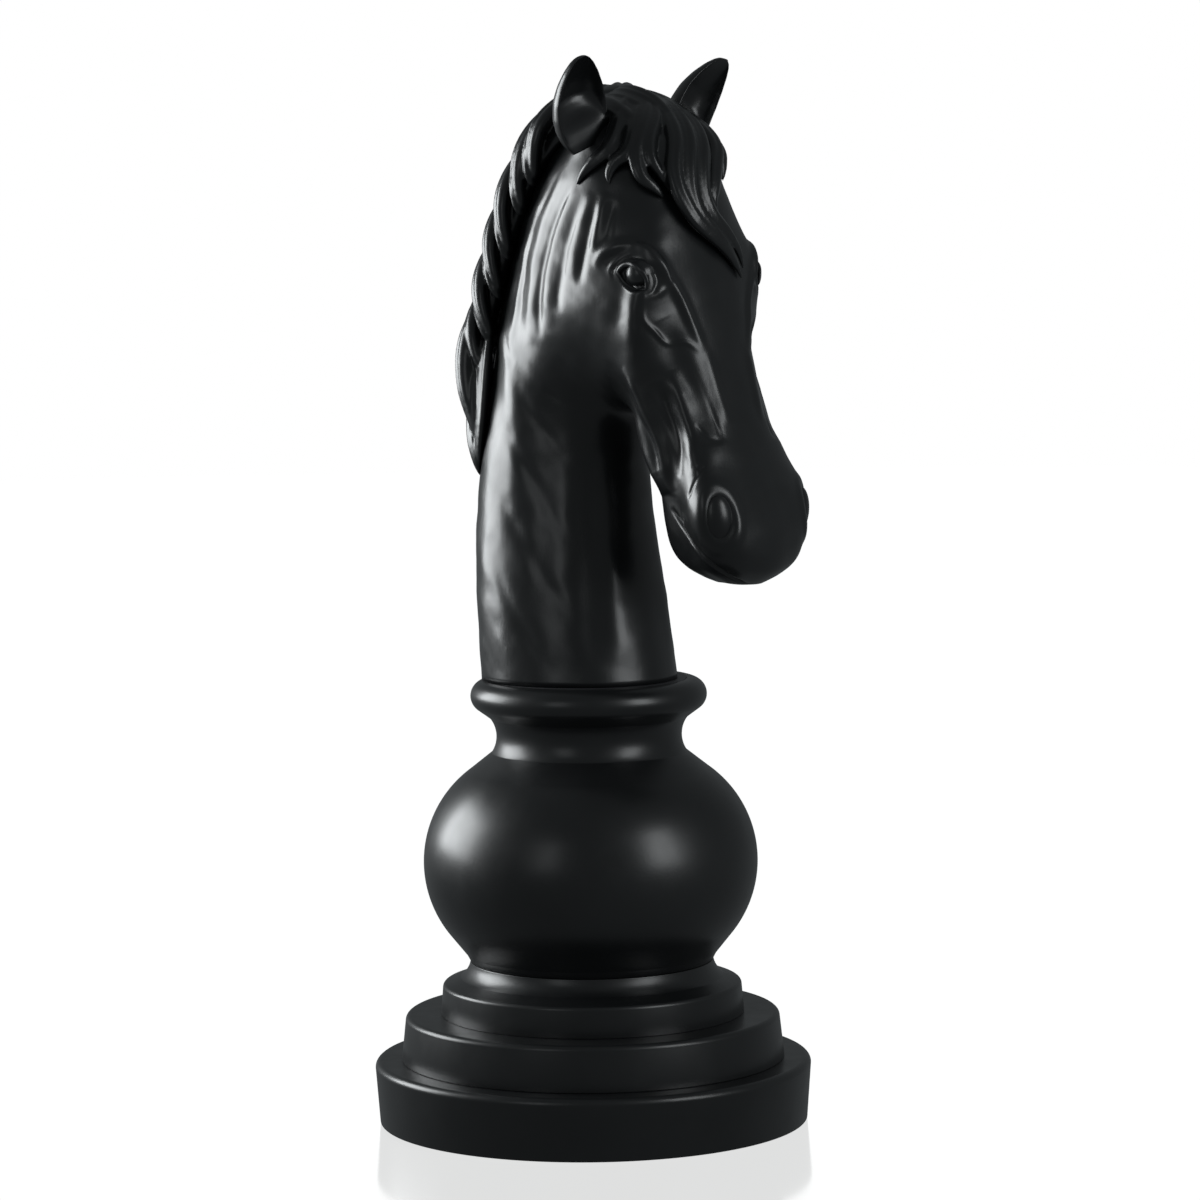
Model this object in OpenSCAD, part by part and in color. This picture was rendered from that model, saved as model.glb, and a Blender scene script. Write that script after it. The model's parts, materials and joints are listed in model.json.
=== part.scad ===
// Giant garden chess knight: a three-section knock-down piece.
// Millimetres, +Z up, origin on the floor under the middle of the base.
// The horse looks along -Y, so its right side is -X.

/* [Base] */
// Radius of the lowest tier at its top edge
lower_r = 187.5; // [187:0.5:189]
// Radius of the middle tier at its top edge
middle_r = 161; // [160:0.5:162]
// Radius of the upper tier at its top edge
upper_r = 128.5; // [128:0.5:130]
// Thickness of the moulded walls of the base
tier_wall = 4.5; // [4:0.5:5]
// Number of screws that hold the bottom plate
plate_screw_count = 8; // [4:1:12]
// Number of screws between two tiers
tier_screw_count = 6; // [4:1:8]

/* [Body] */
// Largest radius of the bulb
bulb_r = 143.3; // [142:0.1:145]
// Wall of the bulb
bulb_wall = 4; // [3:0.5:5]

/* [Clamp] */
// Radius of the tie rod
rod_r = 5.95; // [5.9:0.05:5.95]
// Number of lobes on the clamp knob
knob_lobes = 6; // [5:1:8]

/* [Horse] */
// Wall of the horse's moulded skin, as a share of its width
skin_inset = 0.075; // [0.07:0.005:0.09]
// Radius of the eyeballs
eye_r = 13; // [12:0.5:13]
// Locks in the mane
mane_locks = 9; // [7:1:11]

/* [Hidden] */

black = "#1c1d20";
inner_grey = "#3a3b3e";
steel = "#b8bcc2";
rubber = "#151515";
sand = "#b79a6a";

smooth = 144;                 // facets of a large turned surface
fine = 48;                    // facets of a small turned surface
gap = 0.3;                    // air between two sections that lift apart

lower_z = 1.5;                // underside of the lowest wall
middle_z = 55;                // top of the lower tier
upper_z = 94;                 // top of the middle tier
waist_z = 139.6;              // joint between the base and the bulb
collar_z = 382;               // flat top of the collar
waist_r = 104.2;
edge_r = 5;                   // rounding of a tier's top edge

well_r = 58;                  // hand well in the middle of the base
web = 5;                      // thickness of the tiers' flat tops
rod_hole_r = 6.6;
plate_z = 2;
plate_t = 6;
plate_r = 178.5;
ballast_r = 158;
ballast_h = 34;
middle_hole_r = 60;           // open middle of the middle tier
ring_r_in = 148;
ring_r_out = 162;
plate_screw_ring = 170;
plate_screw_r = 2;
lower_screw_ring = 151;
upper_screw_ring = 118;
tier_screw_r = 2.5;

plug_z = 29;                  // height of the fill hole in the back wall
plug_r = 15.9;
plug_hole_r = 16;
plug_flange_r = 20;
plug_flange_z = 2.5;          // how far the flange stands off the wall, to leave room for the seal

knob_r = 34;
knob_z = 28;
knob_h = 18;
lobe_r = 9;
washer_r = 22;

spigot_r = 79.95;             // bulb spigot in the base's socket
spigot_depth = 16;
neck_spigot_r = 51.95;
neck_spigot_depth = 14;
neck_plate_t = 8;
tube_r = 13;
tube_bore_r = 8;
collar_cup = 20;              // depth of the collar plate below its top
collar_hole_r = 76;           // bore of the collar under its plate
collar_seat_r = 84;           // step in the collar that the plate rests on
collar_seat_depth = 6;
bulb_disc_r = 88.5;
nut_z = collar_z + gap + neck_plate_t;
nut_h = 10.8;
nut_r = 10.97;                // corner radius of a 19 mm hexagon

// points of an arc about (r, z), from angle a0 to a1
function arc(r, z, rad, a0, a1, n) =
  [for (i = [0:n]) let (a = a0 + (a1 - a0) * i / n) [r + rad * cos(a), z + rad * sin(a)]];

// ---------- fasteners ----------

// countersunk screw, head down at z = 0
module flat_screw(r, length) {
  cylinder(h = r, r1 = 2 * r, r2 = r, $fn = fine);
  translate([0, 0, r]) cylinder(h = length - r, r = r - 0.05, $fn = fine);
}

// pan-head screw, head under z = 0
module pan_screw(r, length) {
  translate([0, 0, -r]) cylinder(h = r, r = 1.9 * r, $fn = fine);
  cylinder(h = length, r = r - 0.05, $fn = fine);
}

module around(count, ring, start = 0) {
  for (i = [0:count - 1]) rotate(start + i * 360 / count) translate([ring, 0, 0]) children();
}

// ---------- base ----------

module foot_ring() {
  color(rubber) difference() {
    cylinder(h = 5, r = ring_r_out - 0.2, $fn = smooth);
    translate([0, 0, -1]) cylinder(h = 7, r = ring_r_in + 0.2, $fn = smooth);
  }
}

module base_plate() {
  color(inner_grey) difference() {
    translate([0, 0, plate_z]) cylinder(h = plate_t, r = plate_r, $fn = smooth);
    translate([0, 0, plate_z - 1]) cylinder(h = plate_t + 2, r = well_r - 4, $fn = smooth);
    difference() {
      cylinder(h = 5, r = ring_r_out, $fn = smooth);
      translate([0, 0, -1]) cylinder(h = 7, r = ring_r_in, $fn = smooth);
    }
    around(plate_screw_count, plate_screw_ring, 22.5) translate([0, 0, plate_z]) {
      translate([0, 0, -0.1]) cylinder(h = plate_t + 1, r = plate_screw_r, $fn = fine);
      cylinder(h = plate_screw_r, r1 = 2 * plate_screw_r + 0.05, r2 = plate_screw_r, $fn = fine);
    }
  }
}

module base_plate_screws() {
  color(steel) around(plate_screw_count, plate_screw_ring, 22.5)
    translate([0, 0, plate_z]) flat_screw(plate_screw_r, 12);
}

// outline of a tier wall: foot radius, top radius, floor and top
function tier_outline(r0, r1, z0, z1, rad) = concat(
  [[0, z0], [r0, z0]],
  arc(r1 - rad, z1 - rad, rad, 0, 90, 8),
  [[0, z1]]);

module lower_tier() {
  color(black) difference() {
    rotate_extrude($fn = smooth)
      polygon(tier_outline(lower_r - 3.5, lower_r, lower_z, middle_z, edge_r + 1));
    // ballast space between the outer wall and the hand well
    rotate_extrude($fn = smooth) polygon([
      [well_r + tier_wall, plate_z + plate_t], [162, plate_z + plate_t], [162, 17],
      [lower_r - 3 - tier_wall, 19], [lower_r - tier_wall - 0.5, middle_z - web - 4],
      [lower_r - tier_wall - 4, middle_z - web], [well_r + tier_wall, middle_z - web]]);
    // seat of the bottom plate
    translate([0, 0, -1]) cylinder(h = 1 + plate_z + plate_t, r = plate_r + 0.5, $fn = smooth);
    // hand well, closed by the clamp web at its top
    translate([0, 0, -1]) cylinder(h = 1 + middle_z - web, r = well_r, $fn = smooth);
    cylinder(h = middle_z + 1, r = rod_hole_r, $fn = fine);
    around(plate_screw_count, plate_screw_ring, 22.5)
      translate([0, 0, plate_z]) cylinder(h = 13, r = plate_screw_r, $fn = fine);
    around(tier_screw_count, lower_screw_ring)
      translate([0, 0, middle_z - web - 1]) cylinder(h = web + 2, r = tier_screw_r, $fn = fine);
    translate([0, lower_r - 30, plug_z]) rotate([-90, 0, 0])
      cylinder(h = 40, r = plug_hole_r, $fn = fine);
  }
}

module ballast() {
  color(sand) difference() {
    translate([0, 0, plate_z + plate_t]) cylinder(h = ballast_h, r = ballast_r, $fn = smooth);
    cylinder(h = 60, r = well_r + tier_wall + 0.5, $fn = smooth);
  }
}

module middle_tier() {
  color(black) difference() {
    rotate_extrude($fn = smooth)
      polygon(tier_outline(middle_r + 3.7, middle_r, middle_z, upper_z, edge_r));
    rotate_extrude($fn = smooth) polygon([
      [0, middle_z - 1], [141, middle_z - 1], [141, middle_z + web],
      [middle_r - tier_wall, middle_z + web], [middle_r - tier_wall - 0.5, upper_z - web - 3],
      [middle_r - tier_wall - 4, upper_z - web], [0, upper_z - web]]);
    cylinder(h = upper_z + 1, r = middle_hole_r, $fn = smooth);
    around(tier_screw_count, lower_screw_ring)
      translate([0, 0, middle_z - 1]) cylinder(h = web + 2, r = tier_screw_r, $fn = fine);
    around(tier_screw_count, upper_screw_ring)
      translate([0, 0, upper_z - web - 1]) cylinder(h = web + 2, r = tier_screw_r, $fn = fine);
  }
}

// upper tier: a short wall and a hollow cove that sweeps in to the waist
module upper_tier() {
  wall_top = 117;
  cove = arc(waist_r + 21, waist_z + 3.2, 21, 235, 189, 8);
  color(black) difference() {
    rotate_extrude($fn = smooth) polygon(concat(
      [[0, upper_z], [upper_r + 1.8, upper_z]],
      arc(upper_r - 4, wall_top, 4, 0, 80, 6),
      cove,
      [[waist_r - 0.4, waist_z], [0, waist_z]]));
    rotate_extrude($fn = smooth) polygon([
      [0, upper_z - 1], [109, upper_z - 1], [109, upper_z + web],
      [upper_r - tier_wall, upper_z + web], [upper_r - tier_wall, wall_top - 5],
      [108, wall_top + 4], [99, waist_z - 6], [84.5, waist_z - 6],
      [84.5, wall_top - 5], [0, wall_top - 5]]);
    translate([0, 0, wall_top - 6]) cylinder(h = 40, r = spigot_r + 0.08, $fn = smooth);
    around(tier_screw_count, upper_screw_ring)
      translate([0, 0, upper_z - 1]) cylinder(h = web + 2, r = tier_screw_r, $fn = fine);
  }
}

module lower_tier_screws() {
  color(steel) around(tier_screw_count, lower_screw_ring)
    translate([0, 0, middle_z - web]) pan_screw(tier_screw_r, 2 * web + 1);
}

module upper_tier_screws() {
  color(steel) around(tier_screw_count, upper_screw_ring)
    translate([0, 0, upper_z - web]) pan_screw(tier_screw_r, 2 * web + 1);
}

// ---------- fill plug in the back wall ----------

plug_face = lower_r - 0.1;    // where the plug's flange meets the wall

module plug_seal() {
  color(rubber) translate([0, plug_face, plug_z]) rotate([-90, 0, 0]) difference() {
    translate([0, 0, 0.6]) cylinder(h = 1.8, r = plug_flange_r - 0.5, $fn = fine);
    cylinder(h = 3, r = plug_r + 0.05, $fn = fine);
  }
}

module fill_plug() {
  color(black) translate([0, plug_face, plug_z]) rotate([-90, 0, 0]) difference() {
    union() {
      translate([0, 0, -14]) cylinder(h = 16.5, r = plug_r, $fn = fine);
      translate([0, 0, plug_flange_z]) cylinder(h = 4, r = plug_flange_r, $fn = fine);
    }
    translate([0, 0, -15]) cylinder(h = 12, r = plug_r - 3, $fn = fine);
    // coin slot across the face
    translate([-13, -1.5, 4]) cube([26, 3, 4]);
  }
}

// ---------- clamp ----------

module clamp_washer() {
  color(steel) difference() {
    translate([0, 0, knob_z + knob_h + 0.3]) cylinder(h = 3.4, r = washer_r, $fn = fine);
    translate([0, 0, knob_z]) cylinder(h = 40, r = rod_r + 0.05, $fn = fine);
  }
}

module clamp_knob() {
  color(inner_grey) difference() {
    union() {
      translate([0, 0, knob_z]) cylinder(h = knob_h, r = knob_r - lobe_r, $fn = fine);
      around(knob_lobes, knob_r - lobe_r) translate([0, 0, knob_z])
        cylinder(h = knob_h - 4, r = lobe_r, $fn = fine);
    }
    translate([0, 0, knob_z + 4]) cylinder(h = knob_h, r = rod_r + 0.02, $fn = fine);
  }
}

module tie_rod() {
  color(steel) translate([0, 0, knob_z + 4.1])
    cylinder(h = nut_z + nut_h + 1 - knob_z - 4.1, r = rod_r, $fn = fine);
}

// ---------- body section ----------

bulb_z = 225;
bulb_arc_r = 97.8;
bulb_screw_ring = 84.3;

// outside of the bulb, the neck above it and the collar, offset inwards by t
function bulb_outline(t) = concat(
  [[waist_r - t, waist_z + gap], [112.5 - t, 155]],
  arc(bulb_r - bulb_arc_r, bulb_z, bulb_arc_r - t, -41, 54, 26),
  arc(79.4 + 26, 333.5, 26 + t, 213, 142, 12));

module bulb_shell() {
  collar_mid = 368.3;
  collar_round = 13.7;
  collar_r = 101.2;
  color(black) difference() {
    rotate_extrude($fn = smooth) polygon(concat(
      [[0, waist_z + gap]],
      bulb_outline(0),
      arc(collar_r - collar_round, collar_mid, collar_round, -50, 84, 14),
      [[0, collar_z]]));
    // hollow of the bulb and its neck, with a floor ring for the screws
    rotate_extrude($fn = smooth) polygon(concat(
      [[0, waist_z + 6], [89, waist_z + 6], [94, waist_z + 14]],
      arc(bulb_r - bulb_arc_r, bulb_z, bulb_arc_r - bulb_wall, -44, 54, 26),
      arc(79.4 + 26, 333.5, 26 + bulb_wall, 213, 142, 10),
      [[collar_hole_r, collar_z - 12], [0, collar_z - 12]]));
    translate([0, 0, waist_z - 1]) cylinder(h = 10, r = 80, $fn = smooth);
    translate([0, 0, collar_z - 20]) cylinder(h = 40, r = collar_hole_r, $fn = smooth);
    translate([0, 0, collar_z - collar_seat_depth]) cylinder(h = 10, r = collar_seat_r, $fn = smooth);
    around(tier_screw_count, bulb_screw_ring) translate([0, 0, waist_z + gap]) {
      translate([0, 0, -0.1]) cylinder(h = 12, r = plate_screw_r, $fn = fine);
      cylinder(h = plate_screw_r, r1 = 2 * plate_screw_r + 0.05, r2 = plate_screw_r, $fn = fine);
    }
  }
}

// bottom of the body section: a disc inside the shell, with the spigot that plugs into the base
module bulb_plate() {
  color(inner_grey) difference() {
    union() {
      translate([0, 0, waist_z + gap - spigot_depth])
        cylinder(h = spigot_depth + 6, r = spigot_r, $fn = smooth);
      translate([0, 0, waist_z + 6]) cylinder(h = 5, r = bulb_disc_r, $fn = smooth);
    }
    translate([0, 0, waist_z - spigot_depth - 1]) cylinder(h = spigot_depth, r = 74, $fn = smooth);
    cylinder(h = 200, r = tube_bore_r, $fn = fine);
    translate([0, 0, waist_z + 5]) cylinder(h = 10, r = tube_r + 0.05, $fn = fine);
    around(tier_screw_count, bulb_screw_ring)
      translate([0, 0, waist_z]) cylinder(h = 12.5, r = plate_screw_r, $fn = fine);
  }
}

module bulb_plate_screws() {
  color(steel) around(tier_screw_count, bulb_screw_ring)
    translate([0, 0, waist_z + gap]) flat_screw(plate_screw_r, 10);
}

// carries the clamp's pull between the two plates, past the thin bulb
module spacer_tube() {
  z0 = waist_z + 5;
  color(inner_grey) difference() {
    translate([0, 0, z0]) cylinder(h = collar_z - collar_cup - z0, r = tube_r, $fn = fine);
    translate([0, 0, z0 - 1]) cylinder(h = 300, r = tube_bore_r, $fn = fine);
  }
}

// closes the collar and holds the socket for the neck's spigot
module collar_plate() {
  cup_z = collar_z - collar_cup;
  color(inner_grey) difference() {
    union() {
      translate([0, 0, collar_z - collar_seat_depth])
        cylinder(h = collar_seat_depth, r = collar_seat_r - 0.2, $fn = smooth);
      translate([0, 0, cup_z]) cylinder(h = collar_cup, r = 60, $fn = smooth);
      translate([0, 0, cup_z - 6]) cylinder(h = 7, r = tube_r + 4, $fn = fine);
    }
    translate([0, 0, cup_z + 4]) cylinder(h = 30, r = neck_spigot_r + 0.08, $fn = smooth);
    translate([0, 0, cup_z - 7]) cylinder(h = 7, r = tube_r + 0.05, $fn = fine);
    translate([0, 0, cup_z - 7]) cylinder(h = 30, r = tube_bore_r, $fn = fine);
    translate([-key_w / 2 - 0.4, 40, cup_z + 4]) cube([key_w + 0.8, 16.5, 30]);
  }
}

// ---------- head section: plate, nut and their fasteners ----------

key_w = 8;                    // key that stops the head from turning
neck_mid = 8;                 // the neck's middle lies this far behind the rod
neck_plate_r = 68;
neck_screw_ring = 63;
neck_screws = 6;

module neck_plate() {
  z0 = collar_z + gap;
  color(inner_grey) difference() {
    union() {
      translate([0, neck_mid, z0]) cylinder(h = neck_plate_t, r = neck_plate_r, $fn = smooth);
      translate([0, 0, z0 - neck_spigot_depth])
        cylinder(h = neck_spigot_depth + 1, r = neck_spigot_r, $fn = smooth);
      translate([-key_w / 2, 48, z0 - neck_spigot_depth]) cube([key_w, 8, neck_spigot_depth + 1]);
    }
    translate([0, 0, z0 - neck_spigot_depth - 1])
      cylinder(h = neck_spigot_depth + 1, r = neck_spigot_r - 5, $fn = smooth);
    cylinder(h = 500, r = rod_hole_r, $fn = fine);
    translate([0, neck_mid, z0]) around(neck_screws, neck_screw_ring, 30) {
      translate([0, 0, -1]) cylinder(h = 12, r = plate_screw_r, $fn = fine);
      cylinder(h = plate_screw_r, r1 = 2 * plate_screw_r + 0.05, r2 = plate_screw_r, $fn = fine);
    }
  }
}

module neck_plate_screws() {
  color(steel) translate([0, neck_mid, collar_z + gap])
    around(neck_screws, neck_screw_ring, 30) flat_screw(plate_screw_r, 13);
}

module captive_nut() {
  color(steel) difference() {
    translate([0, 0, nut_z]) cylinder(h = nut_h, r = nut_r, $fn = 6);
    translate([0, 0, nut_z - 1]) cylinder(h = nut_h + 2, r = rod_r + 0.35, $fn = fine);
  }
}

module nut_cover() {
  color(inner_grey) difference() {
    union() {
      translate([0, 0, nut_z]) cylinder(h = 4, r = 24, $fn = fine);
      translate([0, 0, nut_z]) cylinder(h = nut_h + 3.5, r = 15, $fn = fine);
    }
    translate([0, 0, nut_z - 1]) cylinder(h = nut_h + 1.2, r = nut_r + 0.2, $fn = 6);
    translate([0, 0, nut_z - 1]) cylinder(h = 40, r = rod_r + 0.6, $fn = fine);
  }
}

// ---------- the horse ----------

// Stations along the bent tube of neck and head, from the collar over the poll to the lips.
// Each has its crest-side and throat-side points as [forward, up], then its half widths.
WIDTH_AT = [0.06, 0.20, 0.38, 0.56, 0.75, 0.92];
STATIONS = [
  [[-94, 382], [77, 382], [40, 66, 80, 80, 68, 44]],
  [[-100, 440], [69, 438], [38, 64, 78, 78, 67, 43]],
  [[-103, 505], [60, 500], [35, 59, 72, 72, 63, 40]],
  [[-98, 570], [55, 552], [32, 54, 66, 66, 58, 36]],
  [[-89, 635], [53, 586], [28, 50, 62, 65, 57, 34]],
  [[-76, 700], [55, 602], [27, 46, 60, 66, 59, 36]],
  [[-56, 762], [59, 608], [28, 46, 60, 68, 62, 38]],
  [[-28, 820], [63, 610], [31, 50, 63, 71, 66, 40]],
  [[12, 860], [66, 610], [36, 58, 70, 74, 68, 42]],
  [[60, 874], [70, 609], [40, 66, 76, 77, 70, 42]],
  [[102, 848], [75, 606], [40, 66, 78, 78, 70, 40]],
  [[126, 805], [80, 603], [38, 62, 74, 77, 68, 38]],
  [[141, 761], [85, 599], [44, 75, 82, 75, 66, 36]],
  [[148, 719], [89, 593], [36, 56, 68, 71, 62, 33]],
  [[155, 678], [92, 584], [34, 50, 60, 66, 58, 30]],
  [[165, 637], [95, 572], [34, 48, 55, 58, 50, 28]],
  [[178, 599], [98, 558], [38, 52, 54, 52, 46, 28]],
  [[191, 565], [100, 541], [48, 64, 60, 50, 44, 29]],
  [[203, 535], [102, 520], [50, 66, 64, 50, 42, 29]],
  [[207, 506], [106, 501], [38, 52, 56, 46, 38, 27]],
  [[202, 484], [118, 486], [26, 38, 42, 38, 30, 20]],
  [[186, 472], [142, 474], [10, 17, 20, 18, 14, 8]]];

function reversed(v) = [for (i = [len(v) - 1:-1:0]) v[i]];

// closed ring of control points for one station; inset shrinks it towards its middle line
function ring(st, inset) =
  let (o = st[0] + inset * (st[1] - st[0]), i = st[1] + inset * (st[0] - st[1]),
       side = [for (k = [0:len(WIDTH_AT) - 1])
         let (p = o + (i - o) * WIDTH_AT[k]) [-st[2][k] * (1 - 2 * inset), -p[0], p[1]]])
  concat([[0, -o[0], o[1]]], side, [[0, -i[0], i[1]]],
         reversed([for (p = side) [-p[0], p[1], p[2]]]));

function third(a, b, c) = (a + 4 * b + c) / 6;

// moves the control points out so that the smooth surface passes close to the stations
function sharpened(net) =
  let (last = len(net) - 1, n = len(net[0]),
       along = [for (i = [0:last]) [for (j = [0:n - 1]) i == 0 || i == last ? net[i][j]
         : third(net[i - 1][j], net[i][j], net[i + 1][j])]])
  [for (i = [0:last]) [for (j = [0:n - 1])
    2 * net[i][j] - third(along[i][(j + n - 1) % n], along[i][j], along[i][(j + 1) % n])]];

function spline(a, b, c, d, f) =
  (pow(1 - f, 3) * a + (3 * pow(f, 3) - 6 * pow(f, 2) + 4) * b
   + (-3 * pow(f, 3) + 3 * pow(f, 2) + 3 * f + 1) * c + pow(f, 3) * d) / 6;

// the net with steps rings per station and steps points per column
function skin_points(net, steps) =
  let (last = len(net) - 1, n = len(net[0]),
       ext = concat([2 * net[0] - net[1]], net, [2 * net[last] - net[last - 1]]))
  [for (s = [0:last * steps]) let (i = min(floor(s / steps), last - 1), f = s / steps - i,
    row = [for (j = [0:n - 1]) spline(ext[i][j], ext[i + 1][j], ext[i + 2][j], ext[i + 3][j], f)])
    for (c = [0:n * steps - 1]) let (j = floor(c / steps), g = c / steps - j)
      spline(row[(j + n - 1) % n], row[j], row[(j + 1) % n], row[(j + 2) % n], g)];

module tube_skin(net, steps) {
  n = len(net[0]) * steps;
  rings = (len(net) - 1) * steps;
  polyhedron(
    points = skin_points(net, steps),
    faces = concat(
      [for (r = [0:rings - 1]) for (c = [0:n - 1]) let (d = (c + 1) % n)
        for (f = [[r * n + c, (r + 1) * n + c, (r + 1) * n + d], [r * n + c, (r + 1) * n + d, r * n + d]]) f],
      [[for (c = [0:n - 1]) c]],
      [[for (c = [n - 1:-1:0]) rings * n + c]]));
}

// chain of rounded links through points [x, forward, up, radius]
module links(points, facets) {
  for (i = [0:len(points) - 2]) hull() for (p = [points[i], points[i + 1]])
    translate([p[0], -p[1], p[2]]) sphere(r = p[3], $fn = facets);
}

module both_sides() {
  children();
  mirror([1, 0, 0]) children();
}

// brow, eye socket, cheek bone and nostril rim stand out from the skin
module relief() {
  both_sides() {
    links([[-66, 100, 744, 6], [-69, 120, 746, 8], [-57, 134, 740, 7], [-42, 143, 700, 5]], 12);
    links([[-62, 111, 731, 17], [-60, 120, 725, 17]], 20);
    links([[-53, 122, 668, 6], [-47, 142, 632, 5], [-42, 160, 590, 4]], 12);
    links([[-50, 184, 554, 7], [-54, 198, 540, 7], [-48, 201, 520, 6]], 12);
  }
}

module horse_solid() {
  tube_skin(sharpened([for (s = STATIONS) ring(s, 0)]), 2);
  relief();
}

eye_across = 67.5;
eye_forward = 119;
eye_up = 730;

module eye_place() {
  both_sides() translate([-eye_across, -eye_forward, eye_up]) children();
}

module horse_shell() {
  color(black) difference() {
    horse_solid();
    // hollow inside
    difference() {
      tube_skin(sharpened([for (s = STATIONS) ring(s, skin_inset)]), 1);
      translate([-200, -200, 300]) cube([400, 400, 96]);
    }
    eye_place() sphere(r = eye_r + 0.15, $fn = 32);
    // flat foot with the pocket for the neck plate
    translate([-200, -200, 300]) cube([400, 400, 82 + gap]);
    translate([0, neck_mid, 381]) cylinder(h = 1 + gap + neck_plate_t, r = neck_plate_r + 0.3, $fn = 64);
    translate([0, neck_mid, 381]) cylinder(h = 30, r = neck_screw_ring - 6, $fn = 64);
    translate([0, neck_mid, 381]) around(neck_screws, neck_screw_ring, 30)
      cylinder(h = 20, r = plate_screw_r + 0.1, $fn = 24);
  }
}

module eye_right() {
  color(black) translate([-eye_across, -eye_forward, eye_up]) sphere(r = eye_r, $fn = fine);
}

module eye_left() {
  color(black) translate([eye_across, -eye_forward, eye_up]) sphere(r = eye_r, $fn = fine);
}

// the crest of the neck as [forward, up], from the poll down to the last lock
CREST = [[30, 872], [0, 858], [-34, 820], [-60, 768], [-78, 712], [-90, 656], [-98, 590], [-102, 520]];

function crest(t) = let (n = len(CREST) - 1, i = min(floor(t * n), n - 1), f = t * n - i)
  CREST[i] * (1 - f) + CREST[i + 1] * f;

// one curved lock that leaves the crest at share t and hangs down one side
module lock(t, side, length) {
  a = crest(t);
  b = crest(min(t + length, 1));
  links([[side * 4, a[0] - 6, a[1] + 2, 13], [side * 22, (a[0] + b[0]) / 2 - 12, (a[1] + b[1]) / 2, 14],
         [side * 30, b[0] - 2, b[1] + 6, 10], [side * 24, b[0] + 2, b[1] - 16, 4]], 12);
}

module mane() {
  color(black) difference() {
    for (k = [0:mane_locks - 1]) let (t = k / mane_locks)
      lock(t, k % 2 == 0 ? -1 : 1, 0.2);
    horse_solid();
    ear_body(-1);
    ear_body(1);
  }
}

module forelock() {
  color(black) difference() {
    union() {
      links([[0, 58, 872, 12], [0, 84, 868, 12], [0, 112, 838, 10], [4, 134, 792, 9], [8, 148, 752, 4]], 12);
      links([[-16, 62, 868, 11], [-24, 92, 858, 11], [-36, 112, 822, 9], [-40, 124, 792, 4]], 12);
      links([[16, 62, 868, 11], [26, 92, 858, 11], [34, 114, 820, 9], [32, 130, 788, 4]], 12);
    }
    horse_solid();
    mane_space();
    ear_body(-1);
    ear_body(1);
  }
}

// everything behind this plane belongs to the mane
module mane_space() {
  translate([-200, -56, 800]) cube([400, 200, 200]);
}

EAR_FOOT = [66, 60, 836];
EAR_TIP = [96, 80, 905];
ear_turn = 8;                 // how far the ears open outwards from straight ahead

// chain of flattened links along an ear, from share t0 to t1 of its length
module ear_links(side, radii, t0, t1, offset, squash) {
  n = len(radii) - 1;
  for (i = [0:n - 1]) hull() for (k = [i, i + 1]) {
    p = EAR_FOOT + (EAR_TIP - EAR_FOOT) * (t0 + (t1 - t0) * k / n) + offset;
    translate([side * p[0], -p[1], p[2]]) rotate([0, 0, side * ear_turn])
      scale([1, squash, 0.6]) sphere(r = radii[k], $fn = 16);
  }
}

// one ear; side is -1 for the right ear
module ear_body(side) {
  ear_links(side, [18, 25, 27, 24, 16, 5], 0, 1, [0, 0, 0], 0.66);
}

// hollow of the ear, open to the front
module ear_scoop(side) {
  ear_links(side, [12, 19, 21, 17, 8], 0.2, 0.85, [2, 14, 2], 0.75);
}

module ear(side) {
  color(black) difference() {
    ear_body(side);
    ear_scoop(side);
    horse_solid();
  }
}

module ear_right() { ear(-1); }

module ear_left() { ear(1); }

foot_ring();
base_plate();
base_plate_screws();
lower_tier();
ballast();
middle_tier();
upper_tier();
lower_tier_screws();
upper_tier_screws();
fill_plug();
plug_seal();
clamp_washer();
clamp_knob();
tie_rod();
bulb_shell();
bulb_plate();
bulb_plate_screws();
spacer_tube();
collar_plate();
horse_shell();
neck_plate();
neck_plate_screws();
captive_nut();
nut_cover();
mane();
forelock();
ear_right();
ear_left();
eye_right();
eye_left();
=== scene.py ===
"""Giant garden chess knight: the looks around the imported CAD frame.

Lengths inside the sculpting functions are millimetres, written as (across, forward, up):
across is +X, forward is -Y, the way the horse looks. Objects are made in metres.
"""
import json
import math

import bmesh
import bpy
import numpy as np
from mathutils import Matrix, Vector


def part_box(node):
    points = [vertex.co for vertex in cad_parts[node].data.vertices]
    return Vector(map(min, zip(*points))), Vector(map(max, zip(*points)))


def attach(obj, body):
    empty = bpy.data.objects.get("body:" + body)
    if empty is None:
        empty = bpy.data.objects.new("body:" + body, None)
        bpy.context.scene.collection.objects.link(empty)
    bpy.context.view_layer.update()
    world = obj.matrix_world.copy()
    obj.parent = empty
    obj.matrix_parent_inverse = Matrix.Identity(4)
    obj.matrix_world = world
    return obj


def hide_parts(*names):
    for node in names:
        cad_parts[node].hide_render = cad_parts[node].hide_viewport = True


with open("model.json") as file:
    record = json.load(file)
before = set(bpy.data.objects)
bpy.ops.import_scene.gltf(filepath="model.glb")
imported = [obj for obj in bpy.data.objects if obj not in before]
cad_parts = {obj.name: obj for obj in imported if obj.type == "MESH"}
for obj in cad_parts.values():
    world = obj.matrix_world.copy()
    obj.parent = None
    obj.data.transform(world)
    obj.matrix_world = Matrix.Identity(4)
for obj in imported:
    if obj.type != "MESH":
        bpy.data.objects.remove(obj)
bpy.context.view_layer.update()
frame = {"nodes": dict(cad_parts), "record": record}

MM = 0.001
TURNED = "satin_black_turned"
CARVED = "satin_black_carved"


# ---------------------------------------------------------------- meshes

def to_world(points):
    """(across, forward, up) in millimetres to (x, y, z) in metres."""
    return np.stack([points[..., 0], -points[..., 1], points[..., 2]], -1) * MM


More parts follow.
